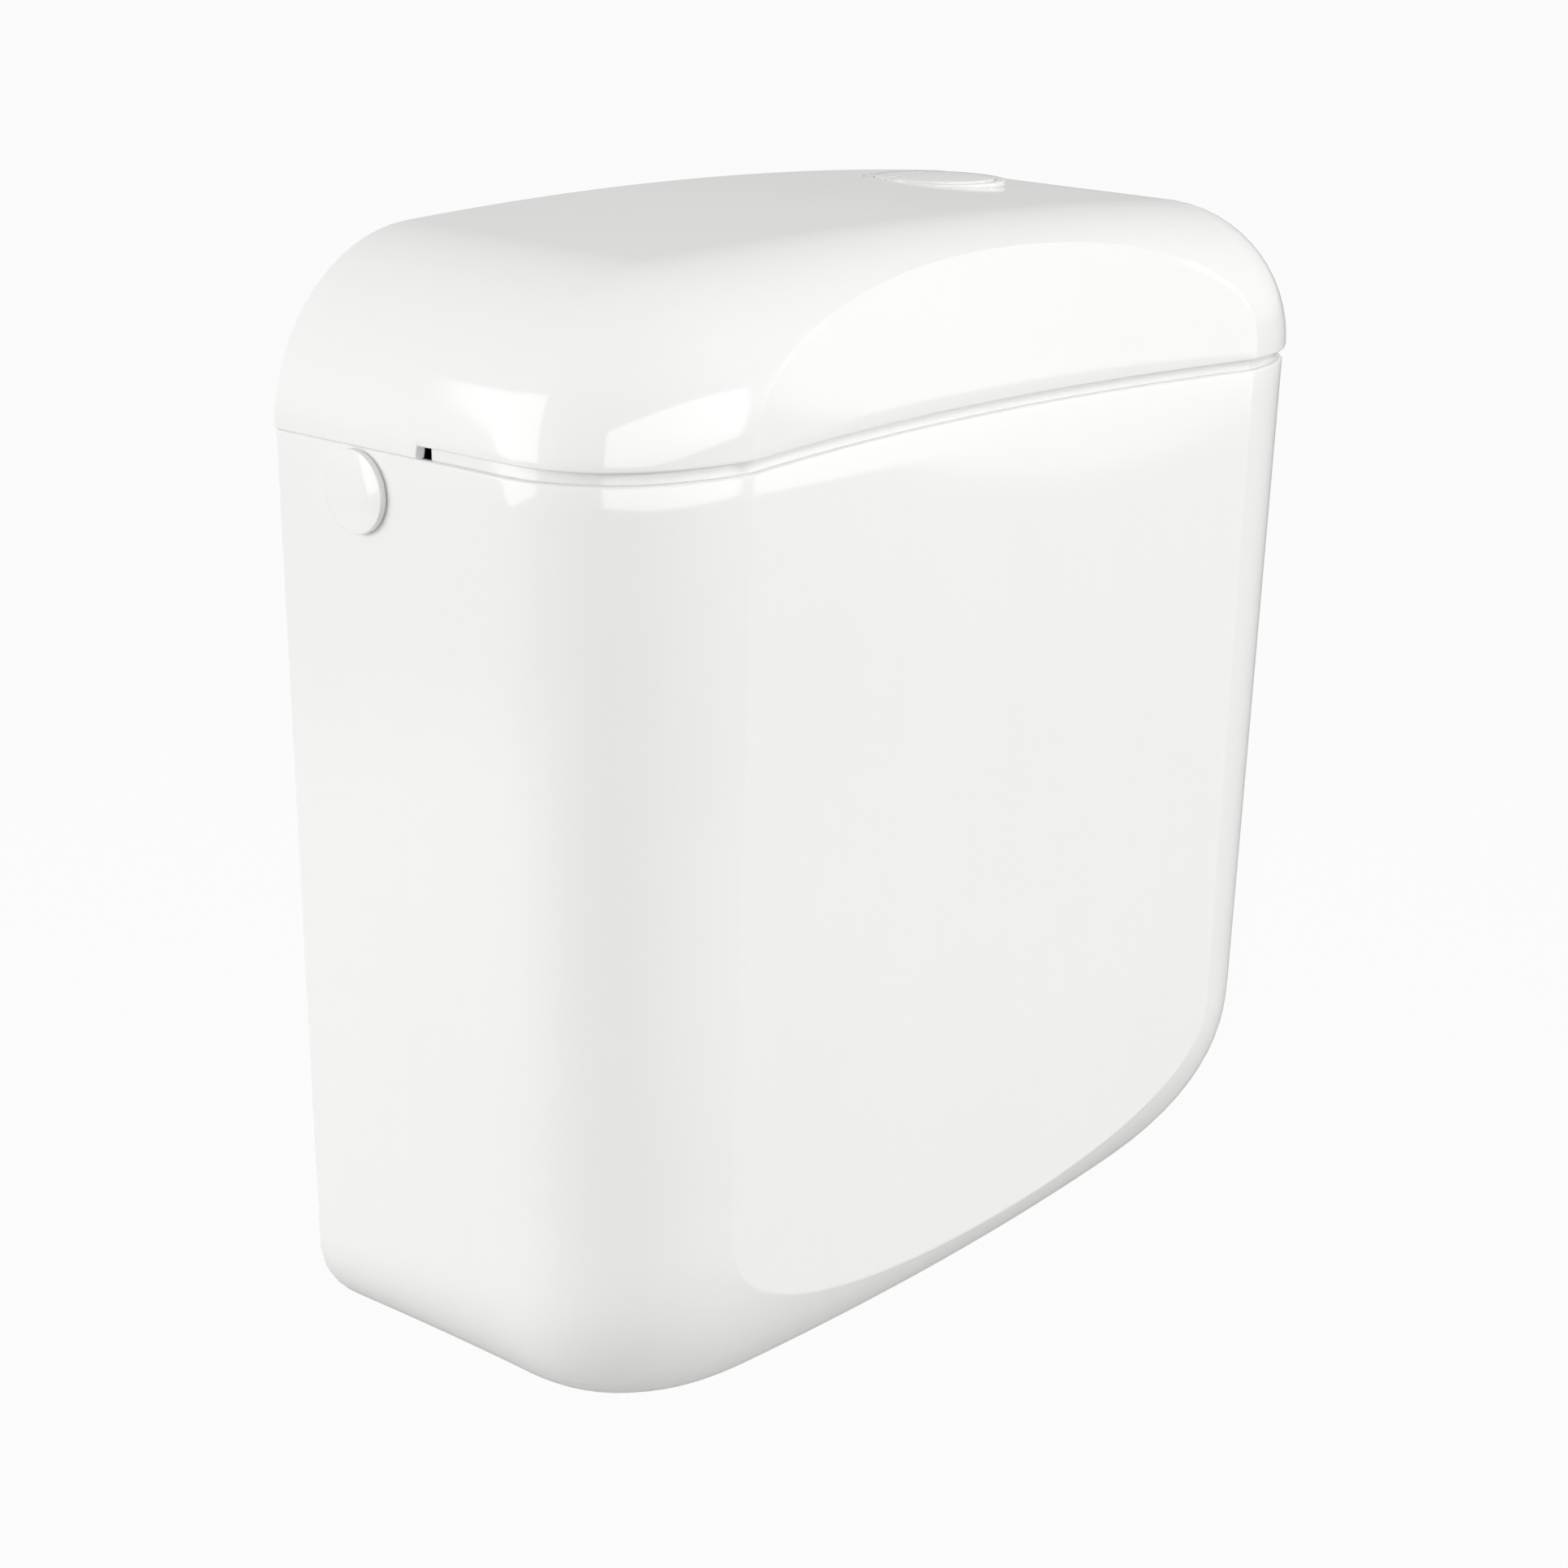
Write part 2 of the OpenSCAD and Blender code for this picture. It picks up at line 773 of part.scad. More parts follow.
// Hub, right-hand bar and pad that both rockers have
module rocker_arm(y, bar_w, hub_w) {
    bar_y(pivot_x, y - hub_w / 2, y + hub_w / 2, pivot_z, hub_r);
    box([pivot_x, y - bar_w / 2, bar_low], [button_x, y + bar_w / 2, bar_top]);
    bar_z(button_x, y, bar_low, bar_top, pad_r);
}

module full_rocker() {
    reach = fork_in + fork_w;
    bridge_end = fork_bridge + bar_t;
    color("lightsteelblue")
    difference() {
        union() {
            rocker_arm(full_y, full_bar_w, full_hub_w);
            box([fork_bridge, full_y - full_bar_w / 2, bar_low],
                [pivot_x, full_y + full_bar_w / 2, bar_top]);
            box([fork_bridge, full_y - reach, bar_low], [bridge_end, full_y + reach, bar_top]);
            for (side = [-1, 1])
                translate([0, full_y + side * (fork_in + fork_w / 2), 0])
                    box([tip_x, -fork_w / 2, bar_low], [bridge_end, fork_w / 2, bar_top]);
        }
        bar_y(pivot_x, full_y - full_hub_w, full_y + full_hub_w, pivot_z, pivot_d / 2 + pin_gap);
    }
}

module half_rocker() {
    reach = half_fork_in + half_fork_w;
    bridge_end = half_bridge + bar_t;
    color("lightgreen")
    difference() {
        union() {
            rocker_arm(half_y, half_bar_w, half_hub_w);
            box([half_bridge, half_y - half_bar_w / 2, bar_low],
                [pivot_x, half_y + half_bar_w / 2, bar_top]);
            box([half_bridge, half_y - reach, bar_low], [bridge_end, half_y + reach, bar_top]);
            for (side = [-1, 1])
                translate([0, half_y + side * (half_fork_in + half_fork_w / 2), 0])
                    box([tip_x, -half_fork_w / 2, bar_low], [bridge_end, half_fork_w / 2, bar_top]);
        }
        bar_y(pivot_x, half_y - half_hub_w, half_y + half_hub_w, pivot_z, pivot_d / 2 + pin_gap);
    }
}

// Centres of the four lugs that hold the rocker pin, one on each side of each hub
function lug_places() = [
    for (side = [-1, 1]) full_y + side * (full_hub_w / 2 + move_gap + lug_w / 2),
    for (side = [-1, 1]) half_y + side * (half_hub_w / 2 + move_gap + lug_w / 2)
];

module rocker_pin() {
    ends = lug_places();
    reach = lug_w / 2 + pin_over;
    color("silver")
        bar_y(pivot_x, min(ends) - reach, max(ends) + reach, pivot_z, pivot_d / 2);
}

module rocker_bracket() {
    ends = lug_places();
    half_lug = lug_w / 2;
    right = pivot_x + lug_r;
    plate_low = bracket_top - bracket_plate_t;
    ring_low = bracket_top - bracket_ring_h;
    ring_r = column_r + fit_gap;
    color("aliceblue")
    difference() {
        union() {
            bar_z(0, valve_y, ring_low, bracket_top, ring_r + bracket_ring_w);
            box([column_r, min(ends) - half_lug, plate_low], [right, max(ends) + half_lug, bracket_top]);
            for (y = ends) {
                box([pivot_x - lug_r, y - half_lug, plate_low], [right, y + half_lug, pivot_z]);
                bar_y(pivot_x, y - half_lug, y + half_lug, pivot_z, lug_r);
            }
            box([column_r, full_y - half_lug, ring_low], [pivot_x, full_y + half_lug, bracket_top]);
        }
        bar_z(0, valve_y, ring_low - cut, bracket_top + cut, ring_r);
        bar_y(pivot_x, min(ends) - lug_w, max(ends) + lug_w, pivot_z, pivot_d / 2 + fit_gap);
    }
}

// Flush valve

module valve_tower() {
    window_h = cage_h - 2 * window_margin;
    guide_reach = half_rod_r + half_guide_w;
    bead_top = bracket_top - bracket_ring_h;
    guide_low = column_top - guide_h;
    color("lightsteelblue")
    difference() {
        union() {
            bar_z(0, valve_y, base_top, cage_top, cage_r);
            bar_z(0, valve_y, cage_top - cut, column_top, column_r);
            bar_z(0, valve_y, bead_top - bead_h, bead_top, column_r + stop_bead);
            box([-guide_reach, valve_y, guide_low], [guide_reach, half_y + guide_reach, column_top]);
        }
        bar_z(0, valve_y, base_top - cut, cage_top - cage_roof, cage_r - cage_wall);
        bar_z(0, valve_y, base_top, guide_low, tube_r + column_gap);
        bar_z(0, valve_y, base_top, column_top + cut, tube_r + move_gap);
        bar_z(0, half_y, cage_top - cage_roof - cut, column_top + cut, half_rod_r + move_gap);
        for (turn = [0, 90])
            translate([0, valve_y, base_top + window_margin])
                rotate(turn)
                    box([-base_d, -window_w / 2, 0], [base_d, window_w / 2, window_h]);
    }
}

module valve_base() {
    color("whitesmoke")
    translate([0, valve_y, 0])
        rotate_extrude()
            polygon([
                [outlet_bore / 2, tail_low], [spigot_d / 2, tail_low],
                [spigot_d / 2, thread_low], [tail_d / 2, thread_low],
                [tail_d / 2, base_low], [base_d / 2, base_low], [base_d / 2, base_top],
                [outlet_bore / 2 + seat_wall, base_top],
                [outlet_bore / 2 + seat_wall, seat_z], [outlet_bore / 2, seat_z]
            ]);
}

module base_washer() {
    color("dimgray")
        ring_z(0, valve_y, floor_z + floor_pad, base_low, base_d / 2, tail_d / 2 + fit_gap);
}

module back_nut() {
    color("whitesmoke")
    difference() {
        translate([0, valve_y, foot_z - back_nut_t])
            cylinder(h = back_nut_t, d = back_nut_w, $fn = 8);
        bar_z(0, valve_y, foot_z - back_nut_t - cut, foot_z + cut, tail_d / 2 + fit_gap);
    }
}

module overflow_tube() {
    color("lightsteelblue")
    difference() {
        union() {
            bar_z(0, valve_y, seat_z - tube_tail, tube_top, tube_r);
            bar_z(0, valve_y, seat_z + seal_t, seat_z + seal_t + seal_flange_t, seal_flange_r);
        }
        bar_z(0, valve_y, seat_z - tube_tail - cut, tube_top + cut, tube_r - tube_wall);
    }
}

module lift_collar() {
    color("lightsteelblue")
        ring_z(0, valve_y, lift_z, lift_z + lift_collar_t, lift_collar_r, tube_r + fit_gap);
}

module flush_seal() {
    color("tomato")
        ring_z(0, valve_y, seat_z, seat_z + seal_t, seal_r, tube_r + fit_gap);
}

module seal_ring() {
    color("whitesmoke")
        ring_z(0, valve_y, seat_z - seal_ring_t, seat_z, seal_ring_r, tube_r + fit_gap);
}

module full_float() {
    color("white")
        ring_z(0, valve_y, full_float_low, full_float_low + full_float_h, full_float_r, tube_r + fit_gap);
}

module half_float() {
    low = cage_top + half_float_rise;
    high = low + half_float_h;
    front = valve_y + column_r + 2 * move_gap;
    color("white")
    difference() {
        box([-half_float_w / 2, front, low], [half_float_w / 2, half_y + half_float_back, high]);
        bar_z(0, half_y, low - cut, high + cut, half_rod_r + fit_gap);
    }
}

module half_lift_rod() {
    color("lightgreen") {
        bar_z(0, half_y, cage_top - cage_roof - half_rod_tail, lift_z + lift_collar_t, half_rod_r);
        bar_z(0, half_y, lift_z, lift_z + lift_collar_t, half_collar_r);
    }
}

// Fill valve

module inlet_body() {
    shank_end = side_out + seat_slack + nut_out_t + thread_past;
    color("whitesmoke")
    difference() {
        union() {
            bar_x(flange_in, shank_end, inlet_y, inlet_z, inlet_d / 2);
            bar_x(flange_in, side_out + inlet_l, inlet_y, inlet_z, supply_d / 2);
            bar_x(flange_in, flange_out, inlet_y, inlet_z, inlet_flange_r);
            bar_x(body_end, flange_in, inlet_y, inlet_z, body_r);
            bar_z(boss_x, inlet_y, inlet_z - boss_drop, inlet_z, boss_r);
        }
        bar_x(body_end - cut, side_out + inlet_l + cut, inlet_y, inlet_z, inlet_bore / 2);
        bar_z(boss_x, inlet_y, inlet_z - boss_drop - cut, inlet_z, boss_r - boss_wall);
    }
}

module inlet_washer() {
    color("dimgray")
    difference() {
        bar_x(flange_out, washer_out, inlet_y, inlet_z, inlet_flange_r);
        bar_x(flange_out - cut, washer_out + cut, inlet_y, inlet_z, inlet_d / 2 + fit_gap);
    }
}

module inlet_nut() {
    face = side_out + seat_slack;
    color("whitesmoke")
    difference() {
        translate([face, inlet_y, inlet_z])
            rotate([30, 0, 0])
                rotate([0, 90, 0])
                    cylinder(h = nut_out_t, r = inlet_nut_r, $fn = 6);
        bar_x(face - cut, face + nut_out_t + cut, inlet_y, inlet_z, inlet_d / 2 + fit_gap);
    }
}

module inlet_strainer() {
    mouth = side_out + inlet_l;
    outer = inlet_bore / 2 - fit_gap;
    color("lightgray")
    difference() {
        bar_x(mouth - strainer_l, mouth, inlet_y, inlet_z, outer);
        bar_x(mouth - strainer_l + strainer_end, mouth + cut, inlet_y, inlet_z, outer - strainer_wall);
    }
}

module valve_cap() {
    grip_end = body_end + cap_grip;
    lug_in = arm_hub_w / 2 + cap_lug_gap;
    color("lightsteelblue")
    difference() {
        union() {
            bar_x(cap_end, grip_end, inlet_y, inlet_z, cap_d / 2);
            for (side = [-1, 1])
                translate([0, inlet_y + side * (lug_in + cap_lug_w / 2), arm_z])
                    box([arm_x - arm_hub_r, -cap_lug_w / 2, -cap_lug_h / 2],
                        [cap_end + cut, cap_lug_w / 2, cap_lug_h / 2]);
        }
        bar_x(cap_end + cap_end_t, body_end - cut, inlet_y, inlet_z, cap_bore_r);
        bar_x(body_end - 2 * cut, grip_end + cut, inlet_y, inlet_z, body_r + fit_gap);
        bar_x(cap_end - cut, cap_end + cap_end_t + cut, inlet_y, inlet_z, closing_pin_d / 2 + pin_gap);
        bar_y(arm_x, inlet_y - cap_d, inlet_y + cap_d, arm_z, arm_pin_d / 2 + fit_gap);
    }
}

module diaphragm() {
    color("dimgray")
        bar_x(body_end - diaphragm_t, body_end, inlet_y, inlet_z, body_r - diaphragm_edge);
}

module closing_pin() {
    head = body_end - diaphragm_t - move_gap - closing_stroke;
    tip = closing_out + closing_pin_d / 2;
    color("gainsboro") {
        bar_x(tip, head, inlet_y, inlet_z, closing_pin_d / 2);
        bar_x(head - closing_head_t, head, inlet_y, inlet_z, closing_head_r);
        translate([tip, inlet_y, inlet_z])
            sphere(d = closing_pin_d);
    }
}

module float_arm() {
    leg_right = closing_out - move_gap;
    leg_left = leg_right - arm_leg_t;
    cheek = eye_w / 2 + move_gap;
    color("lightsteelblue")
    difference() {
        union() {
            bar_y(arm_x, inlet_y - arm_hub_w / 2, inlet_y + arm_hub_w / 2, arm_z, arm_hub_r);
            translate([0, inlet_y, 0])
                box([leg_left, -arm_hub_w / 2, arm_z], [leg_right, arm_hub_w / 2, arm_leg_top]);
            translate([0, inlet_y, 0])
                for (side = [0, 1])
                    mirror([0, side, 0]) {
                        box([link_x, cheek, arm_z - arm_bar_t / 2],
                            [arm_x, arm_hub_w / 2, arm_z + arm_bar_t / 2]);
                        bar_y(link_x, cheek, arm_hub_w / 2, arm_z, eye_r);
                    }
        }
        bar_y(arm_x, inlet_y - arm_hub_w, inlet_y + arm_hub_w, arm_z, arm_pin_d / 2 + pin_gap);
        bar_y(link_x, inlet_y - arm_hub_w, inlet_y + arm_hub_w, arm_z, link_d / 2 + fit_gap);
    }
}

module arm_pin() {
    reach = arm_hub_w / 2 + cap_lug_gap + cap_lug_w + pin_end;
    color("silver")
        bar_y(arm_x, inlet_y - reach, inlet_y + reach, arm_z, arm_pin_d / 2);
}

module link_pin() {
    reach = arm_hub_w / 2 + pin_end;
    color("silver")
        bar_y(link_x, inlet_y - reach, inlet_y + reach, arm_z, link_d / 2);
}

module level_screw() {
    neck_low = arm_z - neck_l;
    color("gainsboro")
    difference() {
        union() {
            bar_y(link_x, inlet_y - eye_w / 2, inlet_y + eye_w / 2, arm_z, eye_r);
            translate([link_x, inlet_y, 0])
                box([-eye_w / 2, -eye_w / 2, neck_low], [eye_w / 2, eye_w / 2, arm_z]);
            bar_z(link_x, inlet_y, float_top - screw_depth, neck_low + cut, screw_d / 2);
        }
        bar_y(link_x, inlet_y - arm_hub_w, inlet_y + arm_hub_w, arm_z, link_d / 2 + pin_gap);
    }
}

module level_float() {
    low = float_top - float_h;
    color("white")
    difference() {
        translate([link_x, inlet_y, 0])
            box([-float_w / 2, -float_d / 2, low], [float_w / 2, float_d / 2, float_top]);
        bar_z(link_x, inlet_y, low - cut, float_top + cut, screw_d / 2 + fit_gap);
    }
}

module discharge_tube() {
    outer = discharge_d / 2;
    top = inlet_z - boss_drop + boss_grip;
    color("lightgray")
        ring_z(boss_x, inlet_y, floor_z + discharge_lift, top, outer, outer - discharge_wall);
}

tank();
side_plug();
lid();
button_bezel();
bezel_nut();
full_button();
half_button();
full_push_rod();
half_push_rod();
full_spring();
half_spring();
full_rocker();
half_rocker();
rocker_pin();
rocker_bracket();
valve_tower();
valve_base();
base_washer();
back_nut();
overflow_tube();
lift_collar();
flush_seal();
seal_ring();
full_float();
half_float();
half_lift_rod();
inlet_body();
inlet_washer();
inlet_nut();
inlet_strainer();
valve_cap();
diaphragm();
closing_pin();
float_arm();
arm_pin();
link_pin();
level_screw();
level_float();
discharge_tube();
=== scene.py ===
"""Finished model of a wall-hung toilet cistern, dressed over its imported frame."""
import json
import logging
import math
from dataclasses import dataclass, field, replace
from enum import Enum
from typing import Callable, ClassVar, Iterable, Mapping, Sequence

import bmesh
import bpy
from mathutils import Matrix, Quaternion, Vector


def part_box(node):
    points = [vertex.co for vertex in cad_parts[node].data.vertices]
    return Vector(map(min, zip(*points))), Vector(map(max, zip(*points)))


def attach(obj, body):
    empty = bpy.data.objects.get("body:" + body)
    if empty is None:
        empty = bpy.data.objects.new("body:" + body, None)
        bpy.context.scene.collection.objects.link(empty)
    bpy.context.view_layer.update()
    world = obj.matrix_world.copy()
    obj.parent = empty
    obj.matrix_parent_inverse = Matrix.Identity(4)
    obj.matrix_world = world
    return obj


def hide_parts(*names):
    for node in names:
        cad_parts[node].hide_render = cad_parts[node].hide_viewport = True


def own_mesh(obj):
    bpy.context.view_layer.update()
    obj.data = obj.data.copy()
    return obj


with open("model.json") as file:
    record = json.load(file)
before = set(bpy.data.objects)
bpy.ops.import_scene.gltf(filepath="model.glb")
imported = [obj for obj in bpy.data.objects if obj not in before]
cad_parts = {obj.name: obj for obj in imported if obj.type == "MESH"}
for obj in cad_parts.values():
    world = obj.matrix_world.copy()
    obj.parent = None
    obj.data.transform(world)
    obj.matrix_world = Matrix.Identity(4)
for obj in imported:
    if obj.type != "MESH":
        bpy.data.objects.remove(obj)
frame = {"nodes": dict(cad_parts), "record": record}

log = logging.getLogger("cistern")

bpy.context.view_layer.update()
MM = 0.001
CUT = 30.0

Point = tuple[float, float, float]
Colour = tuple[float, float, float]
Inputs = Mapping[str | int, object]


# Node trees


class Val:
    """A node's output socket that takes arithmetic."""

    def __init__(self, kit: "NodeKit", socket: bpy.types.NodeSocket) -> None:
        self.kit = kit
        self.socket = socket

    def __add__(self, other: "Val | float") -> "Val":
        return self.kit.math("ADD", self, other)

    def __radd__(self, other: float) -> "Val":
        return self.kit.math("ADD", other, self)

    def __rsub__(self, other: float) -> "Val":
        return self.kit.math("SUBTRACT", other, self)

    def __mul__(self, other: "Val | float") -> "Val":
        return self.kit.math("MULTIPLY", self, other)


class NodeKit:
    """Adds and wires the nodes of one tree."""

    def __init__(self, tree: bpy.types.NodeTree) -> None:
        self.tree = tree

    def add(self, kind: str, inputs: Inputs | None = None, **settings: object) -> bpy.types.Node:
        """Add a node.

        Args:
            kind: The node's type name.
            inputs: Values or sockets by input name or place.
            settings: Properties of the node itself.

        Returns:
            The new node.
        """
        node = self.tree.nodes.new(kind)
        for name, value in settings.items():
            setattr(node, name, value)
        for name, value in (inputs or {}).items():
            self.feed(node.inputs[name], value)
        return node

    def val(self, kind: str, output: str | int = 0, inputs: Inputs | None = None,
            **settings: object) -> Val:
        """Add a node and return one of its outputs."""
        return Val(self, self.add(kind, inputs, **settings).outputs[output])

    def feed(self, socket: bpy.types.NodeSocket, value: object) -> None:
        """Link a socket to a value, or set its constant."""
        if isinstance(value, Val):
            self.tree.links.new(value.socket, socket)
        else:
            socket.default_value = value

    def math(self, operation: str, first: "Val | float", second: "Val | float" = 0.0) -> Val:
        """Return the result of one math node."""
        return self.val("ShaderNodeMath", inputs={0: first, 1: second}, operation=operation)

    def spread(self, value: Val, low: float, high: float, new_low: float = 0.0, new_high: float = 1.0) -> Val:
        """Map one range of a value to another, clamped."""
        return self.val("ShaderNodeMapRange", inputs={
            "Value": value, "From Min": low, "From Max": high, "To Min": new_low, "To Max": new_high})

    def noise(self, place: Val, scale: float, detail: float = 2.0) -> Val:
        """Return the strength of a noise at a place, around one half."""
        return self.val("ShaderNodeTexNoise", "Fac", {"Vector": place, "Scale": scale, "Detail": detail})

    def blend(self, factor: Val, first: Colour, second: Colour) -> Val:
        """Mix two colours."""
        node = self.add("ShaderNodeMix", {"Factor": factor}, data_type="RGBA")
        node.inputs[6].default_value = (*first, 1.0)
        node.inputs[7].default_value = (*second, 1.0)
        return Val(self, node.outputs[2])

    def take(self, **kinds: str) -> Callable[[str], Val]:
        """Give a geometry group its inputs and output.

        Args:
            kinds: Each input's kind by its name.

        Returns:
            A function that finds an input by its name.
        """
        for name, kind in kinds.items():
            self.tree.interface.new_socket(name, in_out="INPUT", socket_type=f"NodeSocket{kind}")
        self.tree.interface.new_socket("Mesh", in_out="OUTPUT", socket_type="NodeSocketGeometry")
        given = self.add("NodeGroupInput")
        return lambda name: Val(self, given.outputs[name])

    def give(self, made: Val, take: Callable[[str], Val]) -> None:
        """End a geometry group: put what it made in its place, as real mesh with its finish."""
        moved = self.val("GeometryNodeTransform", inputs={
            "Geometry": made, "Translation": take("Place"), "Rotation": take("Tilt")})
        real = self.val("GeometryNodeRealizeInstances", inputs={"Geometry": moved})
        done = self.val("GeometryNodeSetMaterial", inputs={"Geometry": real, "Material": take("Finish")})
        self.add("NodeGroupOutput", {"Mesh": done})


# Finishes


class Look(Enum):
    """What a finish is made of."""

    GLOSS = "gloss"
    SATIN = "satin"
    FOAM = "foam"
    RUBBER = "rubber"
    METAL = "metal"


@dataclass(frozen=True)
class Finish:
    """A material of the cistern, with patterns at their real size.

    Attributes:
        slot: The record's material slot.
        look: What the material is made of.
        colour: Main base colour, linear.
        shade: Colour that the broad mottling leans to.
        rough: Middle of the roughness.
        grain: Size of the fine surface grain, in millimetres.
        depth: Depth of that grain, in millimetres.
        coat: Weight of the clear coat.
    """

    slot: str
    look: Look
    colour: Colour
    shade: Colour
    rough: float
    grain: float
    depth: float
    coat: float = 0.0

    def material(self) -> bpy.types.Material:
        """Build the material.

        Returns:
            The new material.
        """
        material = bpy.data.materials.new(self.slot)
        material.use_nodes = True
        material.diffuse_color = (*self.colour, 1.0)
        kit = NodeKit(material.node_tree)
        shader = material.node_tree.nodes["Principled BSDF"]
        place = kit.val("ShaderNodeTexCoord", "Object")
        broad = kit.noise(place, 7.0, 3.0)
        fine = kit.noise(place, 1.0 / (self.grain * MM), 3.0)
        shader.inputs["Coat Weight"].default_value = self.coat
        shader.inputs["Coat Roughness"].default_value = 0.06
        shader.inputs["IOR"].default_value = 1.52
        painter = {
            Look.GLOSS: self._gloss, Look.SATIN: self._satin, Look.FOAM: self._foam,
            Look.RUBBER: self._rubber, Look.METAL: self._metal,
        }[self.look]
        lean, rough, relief = painter(kit, place, broad, fine)
        kit.feed(shader.inputs["Base Color"], kit.blend(lean, self.colour, self.shade))
        kit.feed(shader.inputs["Roughness"], rough)
        bump = kit.val("ShaderNodeBump", inputs={
            "Strength": 1.0, "Distance": self.depth * MM, "Height": relief})
        kit.feed(shader.inputs["Normal"], bump)
        return material

    def _gloss(self, kit: NodeKit, place: Val, broad: Val, fine: Val) -> tuple[Val, Val, Val]:
        """Moulded gloss plastic: faint flow marks, orange peel and hairline wiping marks."""
        flow = kit.val("ShaderNodeMapping", inputs={"Vector": place, "Scale": (90.0, 90.0, 9.0)})
        marks = kit.spread(kit.noise(flow, 1.0, 4.0), 0.45, 0.75)
        lean = kit.spread(broad * 0.9 + marks * 0.1, 0.35, 0.7)
        wipes = kit.val("ShaderNodeMapping", inputs={
            "Vector": place, "Rotation": (0.3, 0.5, 0.4), "Scale": (40.0, 900.0, 60.0)})
        hairs = kit.spread(kit.noise(wipes, 1.0, 2.0), 0.66, 0.74)
        rough = self.rough + broad * 0.04 + hairs * 0.05
        return lean, rough, fine * 0.9 + kit.noise(place, 60.0, 1.0) * 0.1

    def _satin(self, kit: NodeKit, place: Val, broad: Val, fine: Val) -> tuple[Val, Val, Val]:
        """Moulded satin plastic with an eroded tool texture."""
        speck = kit.spread(kit.noise(place, 900.0, 1.0), 0.62, 0.72)
        lean = kit.spread(broad, 0.3, 0.72) * 0.75 + speck * 0.25
        return lean, self.rough + fine * 0.14, fine

    def _foam(self, kit: NodeKit, place: Val, broad: Val, fine: Val) -> tuple[Val, Val, Val]:
        """Bead foam: close cells with soft seams between them."""
        cells = kit.val("ShaderNodeTexVoronoi", "Distance", {
            "Vector": place, "Scale": 1.0 / (self.grain * MM), "Randomness": 0.85}, feature="F1")
        lean = kit.spread(cells, 0.25, 0.75) * 0.7 + broad * 0.3
        return lean, self.rough + fine * 0.1, 1.0 - cells

    def _rubber(self, kit: NodeKit, place: Val, broad: Val, fine: Val) -> tuple[Val, Val, Val]:
        """Moulded rubber with a dusty bloom."""
        bloom = kit.spread(broad, 0.4, 0.75)
        return bloom, self.rough + bloom * 0.12 + fine * 0.06, fine

    def _metal(self, kit: NodeKit, place: Val, broad: Val, fine: Val) -> tuple[Val, Val, Val]:
        """Drawn stainless wire and pins with fine lines along them."""
        shader = kit.tree.nodes["Principled BSDF"]
        shader.inputs["Metallic"].default_value = 1.0
        drawn = kit.val("ShaderNodeMapping", inputs={"Vector": place, "Scale": (1500.0, 120.0, 1500.0)})
        lines = kit.noise(drawn, 1.0, 3.0)
        return kit.spread(broad, 0.3, 0.7), self.rough + lines * 0.16, lines * 0.7 + fine * 0.3


FINISHES: tuple[Finish, ...] = (
    Finish("shell_white", Look.GLOSS, (0.868, 0.868, 0.864), (0.856, 0.855, 0.850), 0.06, 2.6, 0.004, 0.15),
    Finish("valve_white", Look.SATIN, (0.80, 0.80, 0.775), (0.74, 0.74, 0.71), 0.30, 0.8, 0.02),
    Finish("valve_blue", Look.SATIN, (0.055, 0.17, 0.42), (0.04, 0.13, 0.34), 0.28, 0.8, 0.02),
    Finish("valve_green", Look.SATIN, (0.06, 0.33, 0.15), (0.045, 0.26, 0.115), 0.28, 0.8, 0.02),
    Finish("rod_grey", Look.SATIN, (0.42, 0.43, 0.44), (0.35, 0.36, 0.37), 0.32, 0.7, 0.02),
    Finish("float_foam", Look.FOAM, (0.86, 0.86, 0.84), (0.74, 0.74, 0.72), 0.62, 2.4, 0.12),
    Finish("steel", Look.METAL, (0.62, 0.62, 0.60), (0.54, 0.54, 0.53), 0.20, 0.3, 0.004),
    Finish("rubber_black", Look.RUBBER, (0.028, 0.028, 0.030), (0.055, 0.054, 0.052), 0.55, 0.5, 0.02),
    Finish("rubber_red", Look.RUBBER, (0.42, 0.055, 0.035), (0.33, 0.045, 0.03), 0.45, 0.5, 0.02),
)


# Mesh tools


class Sheet:
    """Collects points and faces in millimetres and turns them into an object."""

    def __init__(self) -> None:
        self.points: list[Point] = []
        self.faces: list[tuple[int, ...]] = []

    def face(self, corners: Sequence[Point]) -> None:
        """Add one face by its corners."""
        start = len(self.points)
        self.points.extend(corners)
        self.faces.append(tuple(range(start, start + len(corners))))

    def grid(self, columns: Sequence[Sequence[Point]]) -> None:
        """Add the faces between columns of points that all have as many rows."""
        start = len(self.points)
        rows = len(columns[0])
        for column in columns:
            self.points.extend(column)
        for place in range(len(columns) - 1):
            low = start + place * rows
            for row in range(rows - 1):
                self.faces.append((low + row, low + row + 1, low + rows + row + 1, low + rows + row))

    def build(self, name: str) -> bpy.types.Object:
        """Weld the faces into one surface with its normals outward.

        Args:
            name: The object's name.

        Returns:
            The new object, linked to the scene.
        """
        mesh = bpy.data.meshes.new(name)
        mesh.from_pydata([Vector(point) * MM for point in self.points], [], self.faces)
        work = bmesh.new()
        work.from_mesh(mesh)
        bmesh.ops.remove_doubles(work, verts=work.verts, dist=0.004 * MM)
        bmesh.ops.dissolve_degenerate(work, edges=work.edges, dist=0.004 * MM)
        bmesh.ops.recalc_face_normals(work, faces=work.faces)
        middle = sum((vert.co for vert in work.verts), Vector()) / len(work.verts)
        turned = sum((face.calc_center_median() - middle).dot(face.normal) * face.calc_area()
                     for face in work.faces)
        if turned < 0:
            bmesh.ops.reverse_faces(work, faces=work.faces)
        work.to_mesh(mesh)
        work.free()
        return link(name, mesh)


